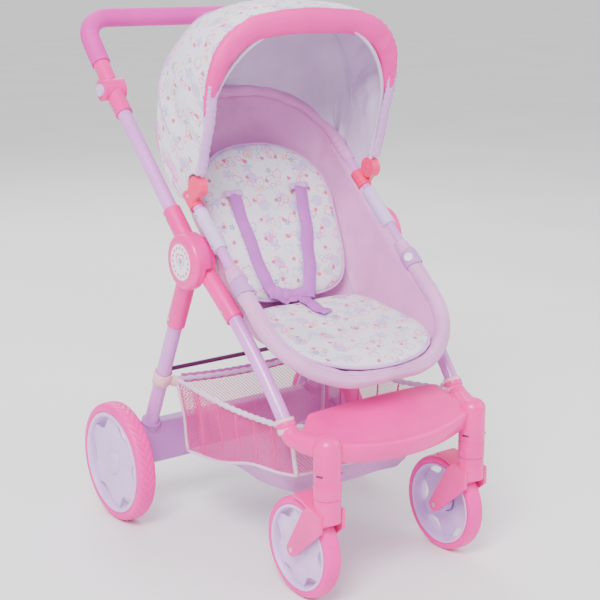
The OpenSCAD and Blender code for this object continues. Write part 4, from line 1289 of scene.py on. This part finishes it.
def basket_wall(t, v):
    rim, foot = basket_rim(t), basket_foot(t)
    p = rim.lerp(foot, v)
    corner = min(t % 1, 1 - t % 1)
    slack = math.sin(math.pi * v)
    fold = math.sin(t * 38) * 0.0028 * slack * (1 - smooth_step(0.05, 0.3, corner))
    belly = noise.noise(Vector((t * 4, v * 2, 0.7))) * 0.004 * slack
    out = Vector((p.x, p.y + 0.06, 0)).normalized()
    return p + out * (fold + belly - 0.003 * slack)


def basket_floor(a, b):
    """a and b run 0..1 across and along the floor."""
    front, rear = basket_foot(2 + a), basket_foot(1 - a)
    near, far = basket_foot(2 - b), basket_foot(3 + b)
    side_a, side_b = near.lerp(far, a), rear.lerp(front, 1 - b)
    p = (side_a + side_b) / 2
    edge = min(a, 1 - a, b, 1 - b)
    deep = 0.007 + 0.030 * smooth_step(0.0, 0.2, b) * (1 - smooth_step(0.3, 0.95, b))
    drop = deep * smooth_step(0, 0.16,
                              edge) + noise.noise(Vector((a * 5, b * 5, 3))) * 0.003 * smooth_step(0, 0.12,
                                                                                                   edge)
    return p - Vector((0, 0, drop))


def net(name, place, across, down):
    """Diamond net: a diagonal grid on place(u, v), both 0..1, turned into threads."""
    points, faces, index = [], [], {}

    def corner(i, j):
        key = (i, j)
        if key not in index:
            index[key] = len(points)
            points.append(place(min(1, max(0, i / (2 * across))), min(1, max(0, j / (2 * down)))))
        return index[key]

    for j in range(0, 2 * down + 1):
        for i in range(0, 2 * across + 1):
            if (i + j) % 2:
                continue
            ring = [(i - 1, j), (i, j - 1), (i + 1, j), (i, j + 1)]
            ring = [(min(2 * across, max(0, a)), min(2 * down, max(0, b))) for a, b in ring]
            loop = [corner(a, b) for a, b in ring]
            if len(set(loop)) >= 3:
                faces.append(list(dict.fromkeys(loop)))
    piece = from_points(name, points, faces)
    wire = piece.modifiers.new("threads", "WIREFRAME")
    wire.thickness = 0.00115
    wire.use_replace = True
    wire.use_boundary = True
    wire.use_even_offset = False
    settle(piece)
    return coat_piece(piece, net_thread)


def build_basket():
    pieces = []
    cell = 0.0050
    for k, (word, wide,
            tall) in enumerate((("back", 0.24, 0.10), ("near", 0.262, 0.078), ("front", 0.24, 0.056),
                                            ("far", 0.262, 0.078))):
        pieces.append(net("basket_net_" + word, lambda u, v, k=k: basket_wall(k + u * 0.9999, v),
                          round(wide / cell), round(tall / cell)))
    floor_piece = grid("basket_floor", lambda i, j: basket_floor(i / 40, j / 44), 40, 44)
    floor_area = sum(f.area for f in floor_piece.data.polygons)
    thicken(floor_piece, 0.0016, 0.0)
    coat_piece(floor_piece, floor_cloth)
    steps = 260
    rim = [basket_rim(4 * k / steps) for k in range(steps)]
    foot = [basket_foot(4 * k / steps) for k in range(steps)]
    pieces.append(floor_piece)

    def rim_band(k):
        scallop = 0.0009 * math.sin(k * 1.7)
        return band(0.0068 + scallop * 2, 0.0026)

    rim_piece = sweep("basket_rim_tape", rim, rim_band, closed=True,
                      up=lambda k: Vector((rim[k].x, rim[k].y + 0.06, 0)).normalized())
    coat_piece(rim_piece, pale_trim)
    back_count = steps // 4
    elastic = sweep("basket_back_elastic", [p + Vector((0, 0.0008, 0.0005)) for p in rim[2:back_count - 1]],
                    lambda k: band(0.0125 + 0.0012 * math.sin(k * 2.1), 0.0034),
                    up=lambda k: Vector((0, 1, 0)))
    coat_piece(elastic, purple_elastic)
    foot_cord = sweep("basket_foot_cord", foot, lambda k: circle(0.0021 + 0.0003 * math.sin(k * 1.9), 8),
                      closed=True,
                      up=(0, 0, 1))
    coat_piece(foot_cord, pale_trim)
    pieces += [rim_piece, elastic, foot_cord]
    for side in (1, 3):
        for m in range(1, 6):
            line = [basket_wall(side + m / 6 + 0.004 * math.sin(v * 0.9), v / 14) for v in range(15)]
            rib = sweep("basket_net_seam_" + str(side) + str(m), line, band(0.0022, 0.0014), up=(1, 0.1, 0))
            coat_piece(rib, net_thread)
            pieces.append(rib)
    for k in range(4):
        seam = sweep("basket_corner_seam_" + str(k), [basket_wall(k + 0.002, v / 14) for v in range(15)],
                     band(0.006, 0.0018), up=(1, 0.3, 0))
        coat_piece(seam, pale_trim)
        pieces.append(seam)
    return pieces, floor_piece, floor_area


basket_pieces, basket_floor_piece, floor_area = build_basket()
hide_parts("basket_body")
print("basket pieces", len(basket_pieces), "net faces", sum(len(p.data.polygons) for p in basket_pieces[:4]))


# %% [markdown]
# Loops of pale webbing hold the basket's corners to the legs. Each is a closed band around the tube
# with a short tail that is sewn to the rim.

# %% Basket straps
def loop_strap(name, centre, direction, radius, width, tail_to):
    direction = Vector(direction).normalized()
    side = direction.cross(Vector((0, 1, 0.2))).normalized()
    other = direction.cross(side)
    ring = [centre + side * radius * math.cos(math.tau * k / 40)
            + other * radius * math.sin(math.tau * k / 40)
            for k in range(40)]
    loop = sweep(name + "_loop", ring, band(width, 0.0018), closed=True,
                 up=lambda k: (ring[k] - centre).normalized())
    start = centre + (tail_to - centre).normalized() * radius
    tail = sweep(name + "_tail",
                 [start.lerp(tail_to, k / 8) - Vector((0, 0, 0.0015 * math.sin(math.pi * k / 8)))
                                  for k in range(9)], band(width * 0.9, 0.0018),
                 up=lambda k: (tail_to - centre).cross(direction).normalized())
    piece = merge(name, [loop, tail])
    return coat_piece(piece, pale_webbing)


def leg_line(node, z):
    """The centre and direction of a leg at a height, from the points of its mesh."""
    points = np.array([tuple(v.co) for v in frame["nodes"][node].data.vertices])
    near = points[np.abs(points[:, 2] - z) < 0.016]
    if len(near) < 8:
        half = (points[:, 2].max() + points[:, 2].min()) / 2
        low, high = points[points[:, 2] < half].mean(axis=0), points[points[:, 2] > half].mean(axis=0)
        return Vector(low + (high - low) * (z - low[2]) / (high[2] - low[2])), Vector(high - low)
    lower, upper = near[near[:, 2] < z].mean(axis=0), near[near[:, 2] >= z].mean(axis=0)
    return Vector((lower + upper) / 2), Vector(upper - lower)


strap_pieces = []
for side, word in ((-1, "left"), (1, "right")):
    p, d = leg_line("rear_leg_" + word, 0.207)
    strap_pieces.append(loop_strap("rear_basket_strap_" + word, p, d, 0.0108, 0.020,
                                   Vector((side * 0.120, 0.066, 0.200))))
    p, d = leg_line("front_leg_" + word, 0.2125)
    strap_pieces.append(loop_strap("front_basket_strap_" + word, p, d, 0.0105, 0.018,
                                   Vector((side * 0.120, -0.178, 0.205))))
for k, piece in enumerate(strap_pieces):
    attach(piece, "chassis" if k % 2 == 0 else "front_frame")
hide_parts("basket_straps")
for piece in basket_pieces:
    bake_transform(piece)
print("straps", len(strap_pieces))


# %% [markdown]
# The footrest is one soft-edged moulding between the two swivel housings. Its top is dished so that
# the doll's feet don't slide off, its front edge bows forward and rolls over into a lip. The housings
# are domed tubes with a small drain slot, and two sockets take the front legs. The drain slots are not
# cut: each is a dark plum band laid on the housing, painted shade where the opening would be.

# %% Footrest
STEM_X = 0.112
footrest_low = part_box("footrest")[0]
STEM_Y = footrest_low.y + 0.024


def footrest_profile(x):
    """Closed outline in (y, z) of the footrest's section at x."""
    f = min(1.0, abs(x) / 0.112)
    end = smooth_step(0.80, 1.0, abs(x) / 0.118)
    back_y = -0.1905 - 0.014 * end
    front_y = -0.2690 + 0.018 * f ** 2 + 0.004 * end
    back_z = 0.2235 - 0.004 * f ** 2 - 0.012 * end
    front_z = 0.1900 + 0.0120 * f ** 2.2
    lip_z = 0.1700 + 0.012 * f ** 2.2
    points = []
    for k in range(17):
        t = k / 16
        dish = 0.0065 * math.sin(math.pi * t ** 1.1)
        points.append((back_y + (front_y + 0.006 - back_y) * t,
                       back_z + (front_z + 0.004 - back_z) * t ** 1.45 - dish * 0.4))
    for k in range(1, 9):
        a = math.pi / 2 * k / 8
        points.append((front_y + 0.006 - 0.006 * math.sin(a), front_z + 0.004 - 0.008 * (1 - math.cos(a))))
    points += [(front_y + 0.0008, front_z - 0.008), (front_y + 0.003, lip_z + 0.004),
               (front_y + 0.006, lip_z),
               (front_y + 0.010, lip_z), (front_y + 0.0105, lip_z + 0.004),
               (front_y + 0.010, front_z - 0.006),
               (back_y - 0.03, back_z - 0.016), (back_y - 0.003, back_z - 0.0085),
               (back_y + 0.001, back_z - 0.006),
               (back_y + 0.0012, back_z - 0.002)]
    return points


def upright(name, x, y, profile, around=64):
    """Turns a profile of (radius, z) about an upright line."""
    return grid(name, lambda i, j: (x + profile[j][0] * math.cos(math.tau * i / around),
                y + profile[j][0] * math.sin(math.tau * i / around), profile[j][1]), around,
                len(profile) - 1, wrap=True)


def build_footrest():
    sections = 72
    profiles = [footrest_profile(-0.118 + 0.236 * j / sections) for j in range(sections + 1)]
    n = len(profiles[0])
    panel = grid("footrest_panel", lambda i, j: (-0.118 + 0.236 * j / sections, *profiles[j][i % n]), n,
                 sections,
                 wrap=True)
    parts = [panel]
    top, bottom, r = 0.2135, footrest_low.z, 0.0165
    for side in (-1, 1):
        profile = [(0.0, bottom + 0.001), (r * 0.80, bottom + 0.001), (r * 0.97, bottom),
                   (r, bottom + 0.0015),
                   (r, bottom + 0.020), (r * 0.975, bottom + 0.0206), (r * 0.975, bottom + 0.0218),
                   (r, bottom + 0.0224)]
        profile += [(r, bottom + 0.024 + (top - 0.013 - bottom - 0.024) * k / 8) for k in range(9)]
        profile += [(r * math.cos(math.pi / 2 * k / 9) ** 0.8,
                     top - 0.013 + 0.013 * math.sin(math.pi / 2 * k / 9))
                    for k in range(1, 10)]
        parts.append(upright("housing", side * STEM_X, STEM_Y, profile))
        leg, direction = leg_line("front_leg_left" if side < 0 else "front_leg_right", 0.214)
        run = direction.normalized()
        start = leg + run * 0.001
        marks = [start, leg - run * 0.009, leg - run * 0.018 + Vector((-side * 0.001, -0.004, 0.001)),
                 Vector((side * 0.121, STEM_Y + 0.022, 0.1985)),
                 Vector((side * STEM_X, STEM_Y + 0.004, 0.1965))]
        path = even(marks, 26)
        socket = sweep("socket", path, lambda k: circle(0.0112 + 0.0022 * smooth_step(4, 22, k) +
                       (0.0006 if k < 3 else 0) - (0.0005 if k in (4, 5) else 0), 28), up=(0, 0, 1))
        parts.append(socket)
    whole = merge("footrest_moulding", parts)
    coat_piece(whole, pink_plastic)
    whole.data.set_sharp_from_angle(angle=math.radians(42))
    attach(whole, "front_frame")
    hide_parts("footrest")
    # Each drain slot is painted shade: a dark plum band on the housing's surface stands in for the dark inside
    # of an opening that is not cut.
    slots = []
    for side in (-1, 1):
        for turn in (200, 330):
            a = math.radians(turn)
            out = Vector((math.cos(a), math.sin(a), 0))
            base = Vector((side * STEM_X, STEM_Y, 0.169)) + out * 0.0162
            across = Vector((0, 0, 1)).cross(out)
            slots.append(sweep("drain_slot_shade",
                               [base - across * 0.004, base - across * 0.001, base + across * 0.001,
                                              base + across * 0.004], band(0.0022, 0.0012), up=tuple(out)))
    slot_shade_marks = merge("housing_slot_shades", slots)
    coat_piece(slot_shade_marks, plum_paint)
    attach(slot_shade_marks, "front_frame")
    return whole


footrest_piece = build_footrest()
print("footrest", len(footrest_piece.data.vertices), "points, housings at y", round(STEM_Y, 4))


# %% [markdown]
# The stage: a pale floor that runs far past the picture, a soft key light from the upper left, a wide
# fill from the right and a gentle light from behind. Shadows stay soft, as on a catalogue table.

# %% Floor and light
floor_look = Finish("pale_floor")
floor_where = floor_look.add("ShaderNodeTexCoord").outputs["Object"]
floor_look.wire(floor_look.ramp(floor_look.noise(floor_where, 2), (0.86, 0.86, 0.87), (0.9, 0.9, 0.9)),
                floor_look.shader.inputs["Base Color"])
floor_look.set(roughness=0.7)
bpy.ops.mesh.primitive_plane_add(size=60, location=(0, 0, 0))
floor = bpy.context.object
floor.name = "floor"
floor.data.materials.append(floor_look.material)


def soft_light(name, place, aim, power, width):
    data = bpy.data.lights.new(name, "AREA")
    data.energy = power
    data.size = width
    lamp = bpy.data.objects.new(name, data)
    bpy.context.scene.collection.objects.link(lamp)
    lamp.location = place
    lamp.rotation_mode = "QUATERNION"
    lamp.rotation_quaternion = (Vector(aim) - Vector(place)).to_track_quat("-Z", "Y")
    return lamp


soft_light("key", (-1.6, -1.4, 2.4), (0, 0, 0.35), 120, 1.2)
soft_light("fill", (2.0, -1.4, 1.5), (0, 0, 0.3), 26, 2.0)
soft_light("rim", (0.6, 2.2, 2.2), (0, 0, 0.4), 44, 1.6)
world = bpy.data.worlds.new("studio")
bpy.context.scene.world = world
world.use_nodes = True
world.node_tree.nodes["Background"].inputs["Color"].default_value = (0.98, 0.98, 1.0, 1)
world.node_tree.nodes["Background"].inputs["Strength"].default_value = 1.08
